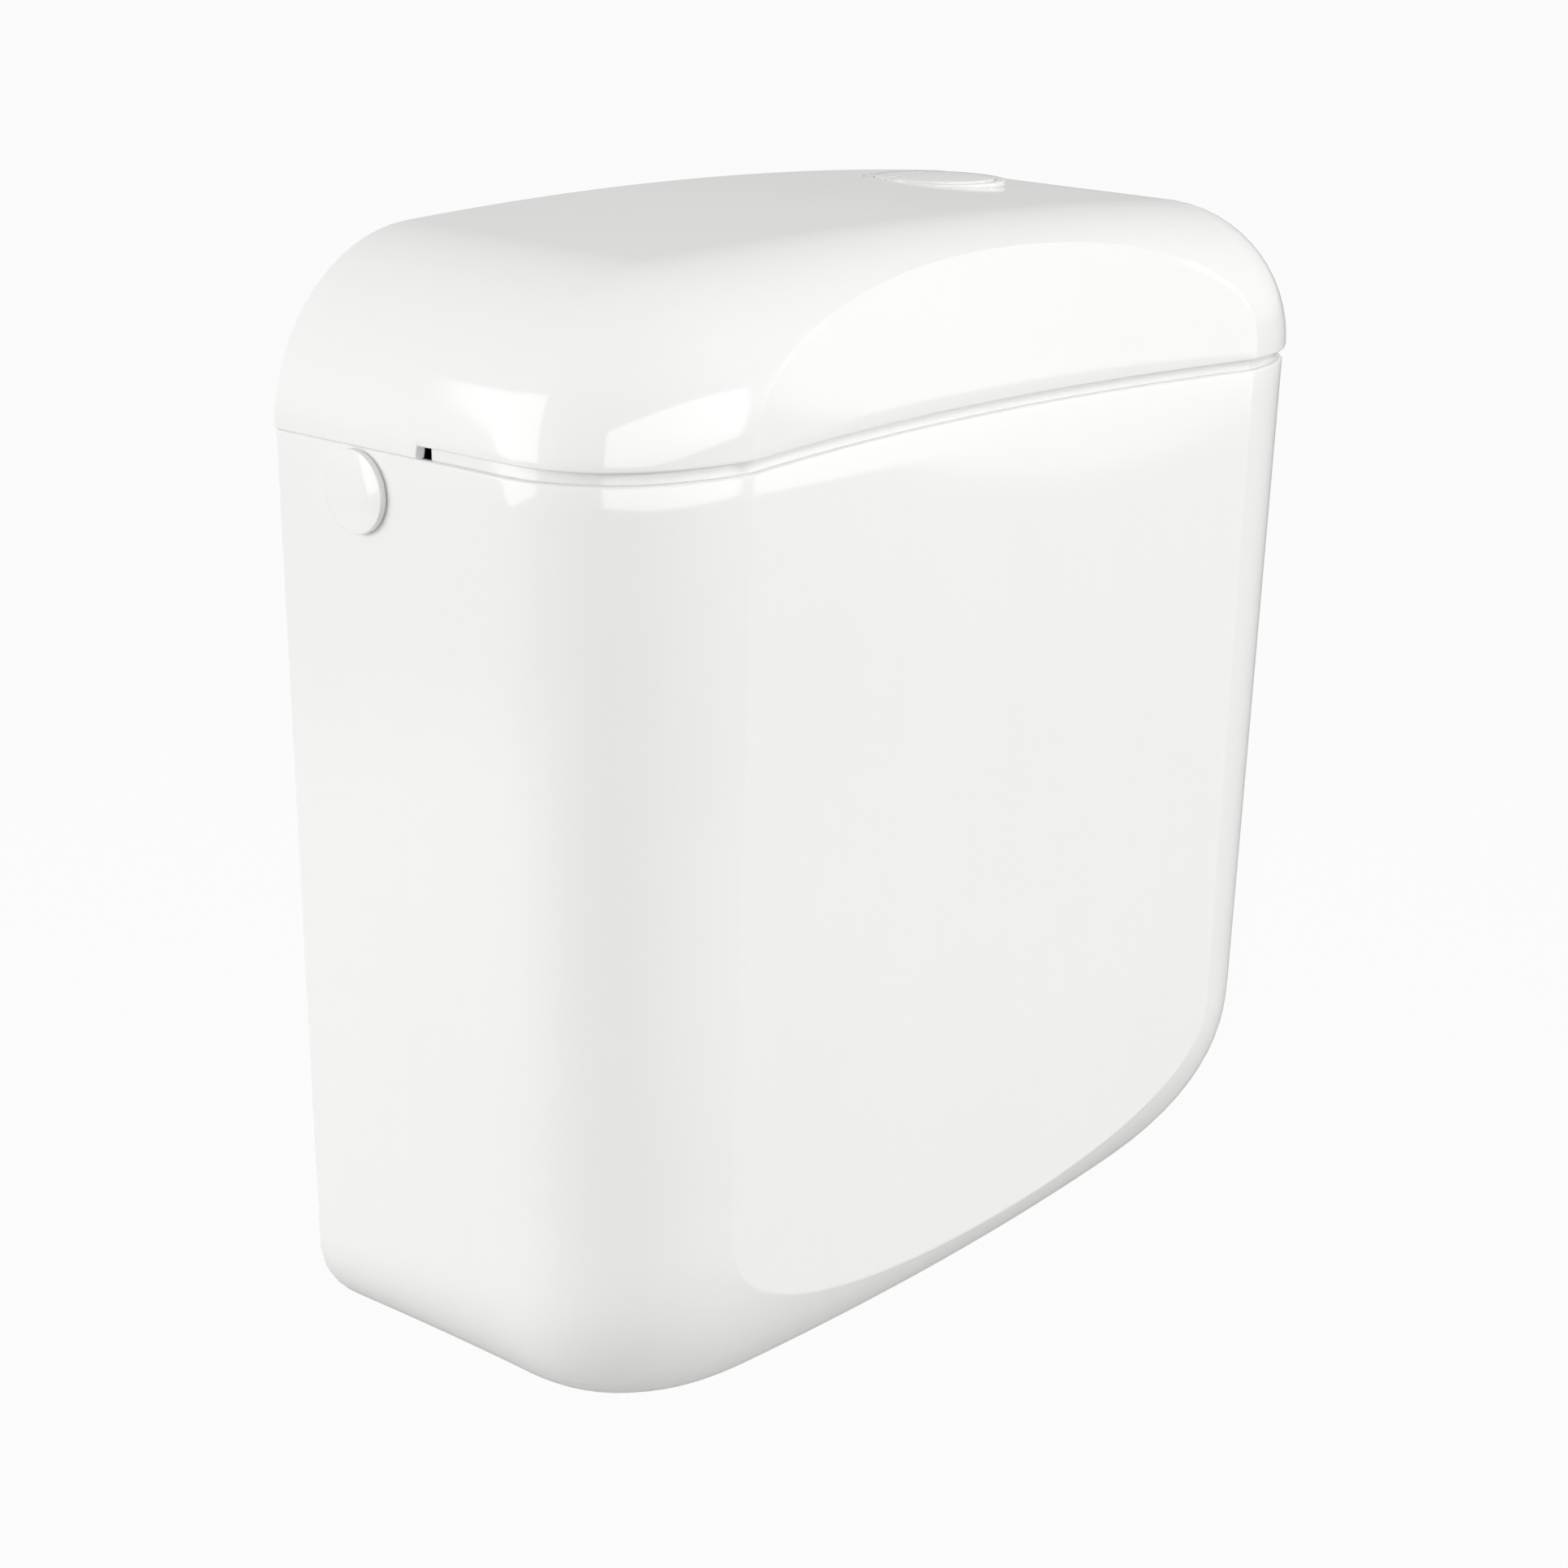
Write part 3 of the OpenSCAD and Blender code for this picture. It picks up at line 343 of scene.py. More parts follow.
def link(name: str, mesh: bpy.types.Mesh) -> bpy.types.Object:
    """Make an object of a mesh and put it in the scene."""
    obj = bpy.data.objects.new(name, mesh)
    bpy.context.scene.collection.objects.link(obj)
    return obj


def settle(obj: bpy.types.Object) -> bpy.types.Object:
    """Turn an object's modifiers into a plain mesh."""
    graph = bpy.context.evaluated_depsgraph_get()
    mesh = bpy.data.meshes.new_from_object(obj.evaluated_get(graph))
    obj.modifiers.clear()
    obj.data = mesh
    return obj


def shape(obj: bpy.types.Object, *steps: tuple[str, Mapping[str, object]]) -> bpy.types.Object:
    """Run modifiers over an object and keep their result.

    Args:
        obj: The object.
        steps: Each modifier's type with its settings.

    Returns:
        The same object.
    """
    for kind, settings in steps:
        modifier = obj.modifiers.new(kind.title(), kind)
        for name, value in settings.items():
            setattr(modifier, name, value)
    return settle(obj)


def carve(obj: bpy.types.Object, cutters: Iterable[bpy.types.Object]) -> bpy.types.Object:
    """Cut other objects out of one, and remove them."""
    for cutter in cutters:
        shape(obj, ("BOOLEAN", {"operation": "DIFFERENCE", "object": cutter, "solver": "EXACT"}))
        bpy.data.objects.remove(cutter)
    return obj


def smooth(obj: bpy.types.Object, degrees: float = 38.0) -> bpy.types.Object:
    """Shade an object smooth, with sharp edges over an angle."""
    obj.data.shade_smooth()
    obj.data.set_sharp_from_angle(angle=math.radians(degrees))
    return obj


def lathe(name: str, profile: Sequence[tuple[float, float]], base: Point, axis: Point,
          segments: int = 72) -> bpy.types.Object:
    """Turn a profile round an axis.

    Args:
        name: The object's name.
        profile: Radius and height of each corner, in millimetres, from the axis back to it.
        base: Where height zero lies on the axis.
        axis: Direction of growing height.
        segments: Faces round the axis.

    Returns:
        The turned object.
    """
    turn = Vector(axis).to_track_quat("Z", "Y").to_matrix()
    sheet = Sheet()
    columns = []
    for step in range(segments + 1):
        angle = 2 * math.pi * (step % segments) / segments
        columns.append([
            tuple(Vector(base) + turn @ Vector((r * math.cos(angle), r * math.sin(angle), h)))
            for r, h in profile])
    sheet.grid(columns)
    return sheet.build(name)


def drill(name: str, radius: float, base: Point, axis: Point, start: float = -CUT) -> bpy.types.Object:
    """Make a round cutter that passes through a base, or starts there."""
    return lathe(name, [(0.0, start), (radius, start), (radius, CUT), (0.0, CUT)], base, axis)


# The cistern's form


class Zone(Enum):
    """Part of the outline that a column of points runs down."""

    PANEL = "panel"
    SHOULDER = "shoulder"
    CORNER = "corner"
    SIDE = "side"


@dataclass(frozen=True)
class Column:
    """A place on the right half of the outline: its zone and how far along it lies."""

    zone: Zone
    at: float


PANEL_STEPS = (0.0, 0.1, 0.2, 0.3, 0.4, 0.5, 0.58, 0.66, 0.73, 0.79, 0.84, 0.88, 0.915, 0.94, 0.96,
               0.975, 0.986, 0.993, 1.0)
SHOULDER_STEPS = (0.025, 0.07, 0.13, 0.2, 0.28, 0.37, 0.47, 0.58, 0.7, 0.85, 1.0)
CORNER_STEPS = (0.7, 0.62, 0.53, 0.43, 0.33, 0.22, 0.11, 0.0)
SIDE_STEPS = (0.965, 0.93, 0.89, 0.85, 0.8, 0.75, 0.71, 0.6769, 0.6738, 0.64, 0.58, 0.5, 0.4, 0.3, 0.2,
              0.1, 0.0)

GAP_END = 0.675

COLUMNS: tuple[Column, ...] = (
    *(Column(Zone.PANEL, at) for at in PANEL_STEPS), *(Column(Zone.SHOULDER, at) for at in SHOULDER_STEPS),
    *(Column(Zone.CORNER, at) for at in CORNER_STEPS), *(Column(Zone.SIDE, at) for at in SIDE_STEPS),
)


@dataclass(frozen=True)
class Form:
    """Sizes and curves that the tank and the lid share, in millimetres."""

    half_width: float = 190.0
    depth: float = 156.0
    rim: float = 45.0
    foot: float = -289.0
    bow: float = 2592.6
    corner_side: float = 55.0
    corner_front: float = 45.0
    power: float = 2.6
    crease: float = 133.6
    crease_spread: float = 3.8
    rise: float = 12.7
    rise_foot: float = 3.6
    gap: float = 3.8
    gap_start: float = 66.0

    @property
    def split(self) -> float:
        """Share of a corner's reach at its half-way point."""
        return 0.5 ** (1 / self.power)

    def partner(self, share: float) -> float:
        """The corner's other share, on its superellipse."""
        return (1 - min(1.0, max(0.0, share)) ** self.power) ** (1 / self.power)

    def scoop(self, x: float, crease: float, crease_y: float, rise: float) -> float:
        """Y of the hollowed front panel at one place across it."""
        return crease_y + rise * (1 - (x / crease) ** 2)


def thinner(form: Form, wall: float) -> Form:
    """The form of the inner face behind a wall."""
    return replace(form, half_width=form.half_width - wall, depth=form.depth - wall,
                   corner_side=form.corner_side - wall, corner_front=form.corner_front - wall)


def edge_profile(wall: float, radius: float) -> list[tuple[float, float]]:
    """A wall's rounded edge: share of the way through the wall, and height above the rounding's start."""
    turns = [math.radians(30 * step) for step in range(4)]
    near = [(radius * (1 - math.cos(turn)) / wall, radius * math.sin(turn)) for turn in turns]
    return near + [(1 - share, height) for share, height in reversed(near)]


def close_edge(sheet: Sheet, outer: list[list[Point]], inner: list[list[Point]], wall: float, radius: float,
               upward: float) -> None:
    """Join the first rows of an outer and an inner face with a rounded edge."""
    ring = []
    for first, second in zip(outer, inner):
        start, end = Vector(first[0]), Vector(second[0])
        ring.append([tuple(start.lerp(end, share) + Vector((0.0, 0.0, upward * height)))
                     for share, height in edge_profile(wall, radius)])
    sheet.grid(ring)
    sheet.grid([ring[0], ring[-1]])


def both_sides(path: Callable[[Column], list[Point]]) -> list[list[Point]]:
    """Run a path down every column of both halves, from the left back edge to the right back edge."""
    right = [path(column) for column in COLUMNS]
    left = [[(-x, y, z) for x, y, z in points] for points in reversed(right[1:])]
    return left + right


@dataclass
class Tank:
    """The open tank with its scooped front, blended bottom corners and rim lip."""

    form: Form
    wall: float = 3.2
    side_draft: float = 4.4
    front_draft: float = 2.7
    foot_back: float = 52.0
    foot_wide: float = 110.0
    foot_side: float = 80.0
    foot_front: float = 73.0
    foot_tall: float = 85.0
    foot_reach: float = 149.0
    lip_face: float = 2.2
    lip_thick: float = 2.6
    lip_rise: float = 7.0
    lip_root: float = 9.0
    lip_round: float = 0.8
    inlet_r: float = 11.0
    outlet_r: float = 24.45
    fixing_r: float = 4.0
    fixing_x: float = 120.0
    edge: float = 1.0
    back: float = 0.0
    rows: int = 30
    foot_rows: int = 22
    seam: float = 0.7

    def inner(self) -> "Tank":
        """The inner face as a tank of its own."""
        wall = self.wall
        return replace(
            self, form=replace(thinner(self.form, wall), foot=self.form.foot + wall), back=wall,
            foot_back=self.foot_back - wall, foot_wide=self.foot_wide - wall, foot_side=self.foot_side - wall,
            foot_front=self.foot_front - wall, foot_tall=self.foot_tall - wall)

    def drop(self, z: float) -> float:
        """Share of the way from the rim down to the foot."""
        return (self.form.rim - z) / (self.form.rim - self.form.foot)

    def side_x(self, y: float, z: float, rounded: bool = True) -> float:
        """Half width at one depth and height."""
        width = self.form.half_width - self.side_draft * self.drop(z)
        share = min(1.0, max(0.0, -y / self.foot_reach))
        tall = self.foot_back + (self.foot_side - self.foot_back) * share
        wide = self.foot_wide + (self.foot_side - self.foot_wide) * share
        height = z - self.form.foot
        if rounded and height < tall:
            fall = (tall - height) / tall
            width -= wide * (1 - math.sqrt(max(0.0, 1 - fall * fall)))
        return width

    def front_y(self, x: float, z: float, rounded: bool = True) -> float:
        """Front face before the corner and the scoop."""
        depth = self.form.depth - self.front_draft * self.drop(z)
        height = z - self.form.foot
        if rounded and height < self.foot_tall:
            fall = (self.foot_tall - height) / self.foot_tall
            depth -= self.foot_front * (1 - math.sqrt(max(0.0, 1 - fall * fall)))
        return -depth + x * x / self.form.bow

    def corner_x(self, z: float, rounded: bool = True) -> float:
        """Half width where the front corner starts."""
        x = self.form.half_width
        for _ in range(4):
            x = self.side_x(self.front_y(x, z, rounded) + self.form.corner_front, z, rounded)
        return x

    def outer_y(self, x: float, z: float, rounded: bool = True) -> float:
        """Front face with its corner, before the scoop."""
        share = 1 - (self.corner_x(z, rounded) - x) / self.form.corner_side
        return self.front_y(x, z, rounded) + self.form.corner_front * (1 - self.form.partner(share))

    def crease_x(self, z: float) -> float:
        """Where the scoop's crease runs, drawn in with the foot's rounding."""
        reach = self.form.corner_side * (1 - self.form.split)
        crease = self.form.crease + self.form.crease_spread * self.drop(z)
        return crease * (self.corner_x(z) - reach) / (self.corner_x(z, False) - reach)

    def scoop_y(self, x: float, z: float) -> float:
        """Y of the hollowed panel."""
        form = self.form
        crease = form.crease + form.crease_spread * self.drop(z)
        rise = form.rise + (form.rise_foot - form.rise) * self.drop(z)
        return form.scoop(x, crease, self.outer_y(crease, z, False), rise)

    def panel_foot(self, at: float) -> float:
        """Height at which the panel runs out into the rounded foot."""
        low, high = self.form.foot, self.form.foot + self.foot_tall
        for _ in range(40):
            z = (low + high) / 2
            x = at * self.crease_x(z)
            if self.outer_y(x, z) < self.scoop_y(x, z):
                high = z
            else:
                low = z
        return high

    def point(self, column: Column, z: float, hollow: bool) -> Point:
        """A point of the outer face."""
        form = self.form
        if column.zone is Zone.PANEL:
            x = column.at * self.crease_x(z)
            return x, self.scoop_y(x, z) if hollow else self.outer_y(x, z), z
        if column.zone is Zone.SHOULDER:
            inner = self.crease_x(z)
            outer = self.corner_x(z) - form.corner_side * (1 - form.split)
            x = inner + column.at * (outer - inner)
            return x, self.outer_y(x, z), z
        share = column.at if column.zone is Zone.CORNER else 0.0
        x = self.corner_x(z) - form.corner_side * (1 - form.partner(share))
        y = self.front_y(x, z) + form.corner_front * (1 - share)
        if column.zone is Zone.SIDE:
            y = -self.back + (y + self.back) * column.at
            x = self.side_x(y, z)
        return x, y, z

    def path(self, column: Column) -> list[Point]:
        """Points from the rim down to the foot."""
        panel = column.zone is Zone.PANEL
        turn = self.panel_foot(column.at) if panel else self.form.foot + self.foot_tall
        top = self.form.rim - self.edge
        upper = [top + (turn - top) * step / self.rows for step in range(self.rows)]
        upper += [turn + 2.0, turn + self.seam]
        foot, start = self.form.foot, turn - self.seam
        lower = [start] + [foot + (start - foot) * (1 - math.sin(math.pi / 2 * step / self.foot_rows))
                           for step in range(1, self.foot_rows + 1)]
        points = [self.point(column, z, panel) for z in upper]
        points.append(self.point(column, turn, panel))
        return points + [self.point(column, z, False) for z in lower]

    def shell(self) -> bpy.types.Object:
        """The outer face with its back and floor, given its wall."""
        sheet = Sheet()
        faces = [both_sides(self.path), both_sides(self.inner().path)]
        for columns in faces:
            sheet.grid(columns)
            sheet.grid([columns[0], columns[-1]])
            half = len(columns) // 2
            sheet.grid([[columns[half - step][-1] for step in range(half + 1)],
                        [columns[half + step][-1] for step in range(half + 1)]])
        close_edge(sheet, *faces, self.wall, self.edge, 1.0)
        return sheet.build("tank_shell")

    def lip(self) -> bpy.types.Object:
        """The low lip that stands in the shadow gap."""
        form = self.form
        rim = [self.point(column, form.rim, column.zone is Zone.PANEL) for column in COLUMNS]
        rim = [(-x, y) for x, y, _ in reversed(rim[1:])] + [(x, y) for x, y, _ in rim]
        limit = -(form.gap_start + form.gap)
        rings: list[list[Point]] = []
        low, high = form.rim - self.lip_root, form.rim + self.lip_rise
        near, far = self.lip_face, self.lip_face + self.lip_thick
        bend = self.lip_round
        profile = ((near, low), (near, high - bend), (near + bend, high), (far - bend, high),
                   (far, high - bend), (far, low))
        for place in range(1, len(rim) - 1):
            before, here, after = (Vector(rim[place + step]) for step in (-1, 0, 1))
            if here.y > limit + 0.001 and after.y > limit and before.y > limit:
                continue
            along = (after - before).normalized()
            inward = Vector((-along.y, along.x))
            if here.y > limit:
                here.y = limit
            rings.append([(here.x + inward.x * inset, here.y + inward.y * inset, z)
                          for inset, z in (*profile, profile[0])])
        sheet = Sheet()
        sheet.grid(rings)
        sheet.face(rings[0][:-1])
        sheet.face(rings[-1][:-1])
        return sheet.build("tank_lip")

    def build(self) -> list[bpy.types.Object]:
        """Make the tank's pieces and cut its holes."""
        tank = self.shell()
        low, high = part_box("side_plug")
        inlet = ((low + high) / 2 / MM).yz
        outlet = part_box("back_nut")
        middle = (outlet[0] + outlet[1]) / 2 / MM
        cutters = [
            drill("cut_left", self.inlet_r, (-self.form.half_width, *inlet), (1.0, 0.0, 0.0)),
            drill("cut_right", self.inlet_r, (self.form.half_width, *inlet), (1.0, 0.0, 0.0)),
            drill("cut_floor", self.outlet_r, (middle.x, middle.y, self.form.foot), (0.0, 0.0, 1.0)),
            drill("cut_wall_left", self.fixing_r, (-self.fixing_x, 0.0, 0.0), (0.0, 1.0, 0.0)),
            drill("cut_wall_right", self.fixing_r, (self.fixing_x, 0.0, 0.0), (0.0, 1.0, 0.0)),
        ]
        carve(tank, cutters)
        return [smooth(tank), smooth(self.lip(), 50.0)]


@dataclass
class Lid:
    """The cushion-shaped lid that carries the scoop on."""

    form: Form
    height: float = 64.79
    wall: float = 2.4
    overhang: float = 0.74
    crown: float = 3600.0
    slope: float = math.tan(math.radians(1.4))
    side_round: float = 55.0
    front_round: float = 45.0
    seat_r: float = 26.3
    seat_deep: float = 2.4
    hole_r: float = 24.55
    edge: float = 0.8
    back: float = 0.0

    def inner(self) -> "Lid":
        """The inner face as a lid of its own."""
        wall = self.wall
        return replace(self, form=thinner(self.form, wall), height=self.height - wall, back=wall,
                       side_round=self.side_round - wall, front_round=self.front_round - wall)

    def top_z(self, x: float, y: float) -> float:
        """Height of the arched top."""
        return self.form.rim + self.height - x * x / self.crown + y * self.slope

    def front_y(self, x: float) -> float:
        """Front face before the corner and the scoop."""
        return -(self.form.depth + self.overhang) + x * x / self.form.bow

    @property
    def half_width(self) -> float:
        """Half width at the lower edge."""
        return self.form.half_width + self.overhang

    def scoop_y(self, x: float) -> float:
        """Y of the hollowed panel."""
        return self.form.scoop(x, self.form.crease, self.front_y(self.form.crease), self.form.rise)

    def shares(self, column: Column) -> tuple[float, float, float]:
        """Shares of a column towards the side and the front, and its x where it has one."""
        form = self.form
        if column.zone is Zone.PANEL:
            return 0.0, 1.0, column.at * form.crease
        if column.zone is Zone.SHOULDER:
            outer = self.half_width - form.corner_side * (1 - form.split)
            x = form.crease + column.at * (outer - form.crease)
            side = max(0.0, 1 - (self.half_width - x) / form.corner_side)
            return side, form.partner(side), x
        if column.zone is Zone.CORNER:
            return form.partner(column.at), column.at, 0.0
        return 1.0, 0.0, 0.0

    def dome(self, column: Column, angle: float) -> Point:
        """A point of the rounded cushion, from its base at zero to its top at a right angle."""
        form = self.form
        side, front, x = self.shares(column)
        reach = math.cos(angle)
        if side > 0:
            x = self.half_width - form.corner_side * (1 - side * reach)
        y = self.front_y(x) + form.corner_front * (1 - front * reach)
        if column.zone is Zone.SIDE:
            y = -self.back + (y + self.back) * column.at
        weight = side ** 2 / (side ** 2 + front ** 2)
        radius = self.front_round + (self.side_round - self.front_round) * weight
        return x, y, self.top_z(x, y) - radius * (1 - math.sin(angle))

    def start(self, column: Column, low: float) -> float:
        """Angle at which the cushion comes out of the panel, or stands clear of the lower edge."""
        if column.zone is Zone.PANEL:
            x = column.at * self.form.crease
            reach = (self.front_y(x) + self.form.corner_front - self.scoop_y(x)) / self.form.corner_front
            return math.acos(min(1.0, max(0.0, reach)))
        angle = 0.0
        while self.dome(column, angle)[2] < low + 1.0:
            angle += 0.002
        return angle

    def path(self, column: Column) -> list[Point]:
        """Points from the lower edge up to the top."""
        shut = column.zone is Zone.SIDE and column.at < GAP_END
        low = self.form.rim + self.edge + (0.0 if shut else self.form.gap)
        first = self.start(column, low)
        x, y, z = self.dome(column, first)
        points = [(x, y, low + (z - low) * step) for step in (0.0, 0.1, 0.3, 0.5, 0.7, 0.85, 0.94, 1.0)]
        span = math.pi / 2 - first
        steps = (0.018, 0.05, *(0.1 + 0.9 * step / 13 for step in range(14)))
        return points + [self.dome(column, first + span * step) for step in steps]

    def shell(self) -> bpy.types.Object:
        """The outer face with its top and back, given its wall."""
        sheet = Sheet()
        sides = [self, self.inner()]
        faces = [both_sides(side.path) for side in sides]
        for side, columns in zip(sides, faces):
            sheet.grid(columns)
            sheet.grid([columns[0], columns[-1]])
            side.cover(sheet, columns)
        close_edge(sheet, *faces, self.wall, self.edge, -1.0)
        return sheet.build("lid_shell")

    def cover(self, sheet: Sheet, columns: list[list[Point]]) -> None:
        """Close the top inside the ring of rounded edges, and the crown at the back."""
        half = len(columns) // 2
        reach = columns[-1][-1][0]
        right = [column[-1] for column in columns[half:] if column[-1][0] < reach - 0.01]
        right.append(columns[half + len(PANEL_STEPS) + len(SHOULDER_STEPS) - 1][-1])
        across = [(-x, y, z) for x, y, z in reversed(right[1:])] + right
        top = []
        for x, y, _ in across:
            run = [-self.back + (y + self.back) * row for row in (1.0, *SIDE_STEPS)]
            top.append([(x, place, self.top_z(x, place)) for place in run])
        sheet.grid(top)
        sheet.face([column[-1] for column in top])

    def build(self) -> list[bpy.types.Object]:
        """Make the lid and cut the button's seat."""
        lid = self.shell()
        low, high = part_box("button_bezel")
        middle = (low + high) / 2 / MM
        seat = (middle.x, middle.y, high.z / MM - self.seat_deep)
        cutters = [
            drill("cut_seat", self.seat_r, seat, (0.0, 0.0, 1.0), 0.0),
            drill("cut_hole", self.hole_r, seat, (0.0, 0.0, 1.0)),
        ]
        carve(lid, cutters)
        return [smooth(lid)]


# Repeats


def grow(name: str, tree: bpy.types.NodeTree, **given: object) -> bpy.types.Object:
    """Make a plain mesh from a node group.

    Args:
        name: The object's name.
        tree: The node group.
        given: The group's inputs by name, in metres and radians.

    Returns:
        The finished object.
    """
    obj = link(name, bpy.data.meshes.new(name))
    modifier = obj.modifiers.new("Nodes", "NODES")
    modifier.node_group = tree
    for item in tree.interface.items_tree:
        if item.in_out == "INPUT" and item.name in given:
            modifier[item.identifier] = given[item.name]
    obj.update_tag()
    return smooth(settle(obj), 60.0)


class Coil:
    """A helical ridge or wire, made by one node group with named inputs."""

    group: bpy.types.NodeTree | None = None

    @classmethod
    def tree(cls) -> bpy.types.NodeTree:
        """Build the node group once."""
        if cls.group is not None:
            return cls.group
        tree = bpy.data.node_groups.new("coil", "GeometryNodeTree")
        kit = NodeKit(tree)
        take = kit.take(Turns="Float", Radius="Float", Height="Float", Wire="Float", Sides="Int",
                        Place="Vector", Tilt="Vector", Finish="Material")
        spiral = kit.val("GeometryNodeCurveSpiral", inputs={
            "Resolution": 40, "Rotations": take("Turns"), "Start Radius": take("Radius"),
            "End Radius": take("Radius"), "Height": take("Height")})
        ring = kit.val("GeometryNodeCurvePrimitiveCircle", inputs={
            "Resolution": take("Sides"), "Radius": take("Wire")})
        wire = kit.val("GeometryNodeCurveToMesh", inputs={
            "Curve": spiral, "Profile Curve": ring, "Fill Caps": True})
        kit.give(wire, take)
        cls.group = tree
        return tree


class Ribs:
    """A ring of small grip ribs, made by one node group with named inputs."""

    group: bpy.types.NodeTree | None = None

    @classmethod
    def tree(cls) -> bpy.types.NodeTree:
        """Build the node group once."""
        if cls.group is not None:
            return cls.group
        tree = bpy.data.node_groups.new("ribs", "GeometryNodeTree")
        kit = NodeKit(tree)
        take = kit.take(Count="Int", Radius="Float", Width="Float", Length="Float", Place="Vector",
                        Tilt="Vector", Finish="Material")
        ring = kit.val("GeometryNodeMeshCircle", inputs={"Vertices": take("Count"), "Radius": take("Radius")})
        rib = kit.val("GeometryNodeMeshCylinder", "Mesh", {
            "Vertices": 8, "Side Segments": 3, "Radius": take("Width"), "Depth": take("Length")})
        placed = kit.val("GeometryNodeInstanceOnPoints", inputs={"Points": ring, "Instance": rib})
        kit.give(placed, take)
        cls.group = tree
        return tree


# Assembly


@dataclass
class Cistern:
    """Everything that shows: shells, button, plug and the mechanism inside."""

    EDGES: ClassVar[Mapping[str, float]] = {
        "side_plug": 1.1, "button_bezel": 0.35, "full_button": 0.4, "half_button": 0.4, "level_float": 2.0,
        "half_float": 1.2, "full_float": 1.5}
    EDGE: ClassVar[float] = 0.35
    SPRING_TURNS: ClassVar[float] = 6.0
    SPRING_WIRE: ClassVar[float] = 0.55 * MM
    INLET_R: ClassVar[float] = 10.15 * MM
    SCREW_R: ClassVar[float] = 2.5 * MM
    SCREW_THREAD: ClassVar[float] = 18.0 * MM
    CAP_R: ClassVar[float] = 15.9 * MM

    form: Form = field(default_factory=Form)
    finishes: dict[str, bpy.types.Material] = field(default_factory=dict)
    done: set[str] = field(default_factory=set)

    def __post_init__(self) -> None:
        self.finishes = {finish.slot: finish.material() for finish in FINISHES}
        record = frame["record"]
        self.slots = {part["node"]: part["material_slot"] for part in record["subparts"]}
        self.bodies = {node: body for body, nodes in record["behaviour"]["bodies"].items() for node in nodes}

    def dress(self, piece: bpy.types.Object, node: str, stands_for: bool = True) -> bpy.types.Object:
        """Give a piece its node's finish and body.

        Args:
            piece: The finished object.
            node: The CAD node that it belongs to.
            stands_for: Whether it replaces that node.

        Returns:
            The same object.
        """
        slot = self.slots[node]
        piece.data.materials.clear()
        piece.data.materials.append(self.finishes[slot])
        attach(piece, self.bodies[node])
        if stands_for and node not in self.done:
            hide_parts(node)
            self.done.add(node)
        return piece

    def shells(self) -> None:
        """Tank and lid."""
        for piece in Tank(self.form).build():
            self.dress(piece, "tank")
        for piece in Lid(self.form).build():
            self.dress(piece, "lid")

    def soften(self, node: str) -> bpy.types.Object:
        """Copy a CAD node and round its edges."""
        source = frame["nodes"][node]
        piece = link(f"{node}_soft", source.data.copy())
        work = bmesh.new()
        work.from_mesh(piece.data)
        bmesh.ops.remove_doubles(work, verts=work.verts, dist=0.002 * MM)
        bmesh.ops.dissolve_limit(work, angle_limit=math.radians(0.4), verts=work.verts, edges=work.edges)
        work.to_mesh(piece.data)
        work.free()
        shape(piece, ("BEVEL", {"width": self.EDGES.get(node, self.EDGE) * MM, "segments": 2,
                                "limit_method": "ANGLE", "angle_limit": math.radians(40)}))
        return smooth(piece, 34.0)

    def inside(self) -> None:
        """Every piece that has no shape of its own here, as a softened copy."""
        for node in self.slots:
            if node not in self.done:
                self.dress(self.soften(node), node)

    def coil(self, name: str, node: str, stands_for: bool, **sizes: object) -> bpy.types.Object:
        """Make a coil for a node and dress it."""
        given = {"Finish": self.finishes[self.slots[node]], "Tilt": (0.0, 0.0, 0.0), "Sides": 4, **sizes}
        return self.dress(grow(name, Coil.tree(), **given), node, stands_for)

    def springs(self) -> None:
        """The two button springs as wound wire."""
        for which in ("full", "half"):
            low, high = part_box(f"{which}_spring")
            wire = self.SPRING_WIRE
            radius = (high.x - low.x) / 2 - wire
            middle = (low + high) / 2
            spring = self.coil(
                f"{which}_spring_wire", f"{which}_spring", True, Turns=self.SPRING_TURNS, Radius=radius,
                Wire=wire, Sides=10, Height=high.z - low.z - 2 * wire,
                Place=(middle.x, middle.y, low.z + wire))
            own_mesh(spring)

    def threads(self) -> None:
        """Threads on the inlet's shank and the level screw."""
        ridge = 0.42 * MM
        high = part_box("inlet_body")[1]
        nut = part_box("inlet_nut")
        middle = (nut[0] + nut[1]) / 2
        self.coil("inlet_thread", "inlet_body", False, Turns=7.5, Radius=self.INLET_R, Wire=ridge,
                  Height=high.x - nut[1].x - 2.4 * MM, Place=(nut[1].x + 1.3 * MM, middle.y, middle.z),
                  Tilt=(0.0, math.pi / 2, 0.0))
        low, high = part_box("level_screw")
        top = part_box("level_float")[1].z
        middle = (low + high) / 2
        self.coil("screw_thread", "level_screw", False, Turns=12.0, Radius=self.SCREW_R, Wire=0.4 * MM,
                  Height=self.SCREW_THREAD, Place=(middle.x, middle.y, top + 0.4 * MM))

    def grips(self) -> None:
        """Grip ribs round the fill valve's cap."""
        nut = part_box("inlet_nut")
        middle = (nut[0] + nut[1]) / 2
        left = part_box("arm_pin")[1].x + 6.0 * MM
        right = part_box("discharge_tube")[0].x - 0.8 * MM
        ribs = grow("cap_ribs", Ribs.tree(), Count=36, Radius=self.CAP_R, Width=0.6 * MM, Length=right - left,
                    Place=((left + right) / 2, middle.y, middle.z), Tilt=(0.0, math.pi / 2, 0.0),
                    Finish=self.finishes[self.slots["valve_cap"]])
        self.dress(ribs, "valve_cap", False)

    def build(self) -> None:
        """Make all pieces."""
        self.shells()
        self.springs()
        self.threads()
        self.grips()
        self.inside()


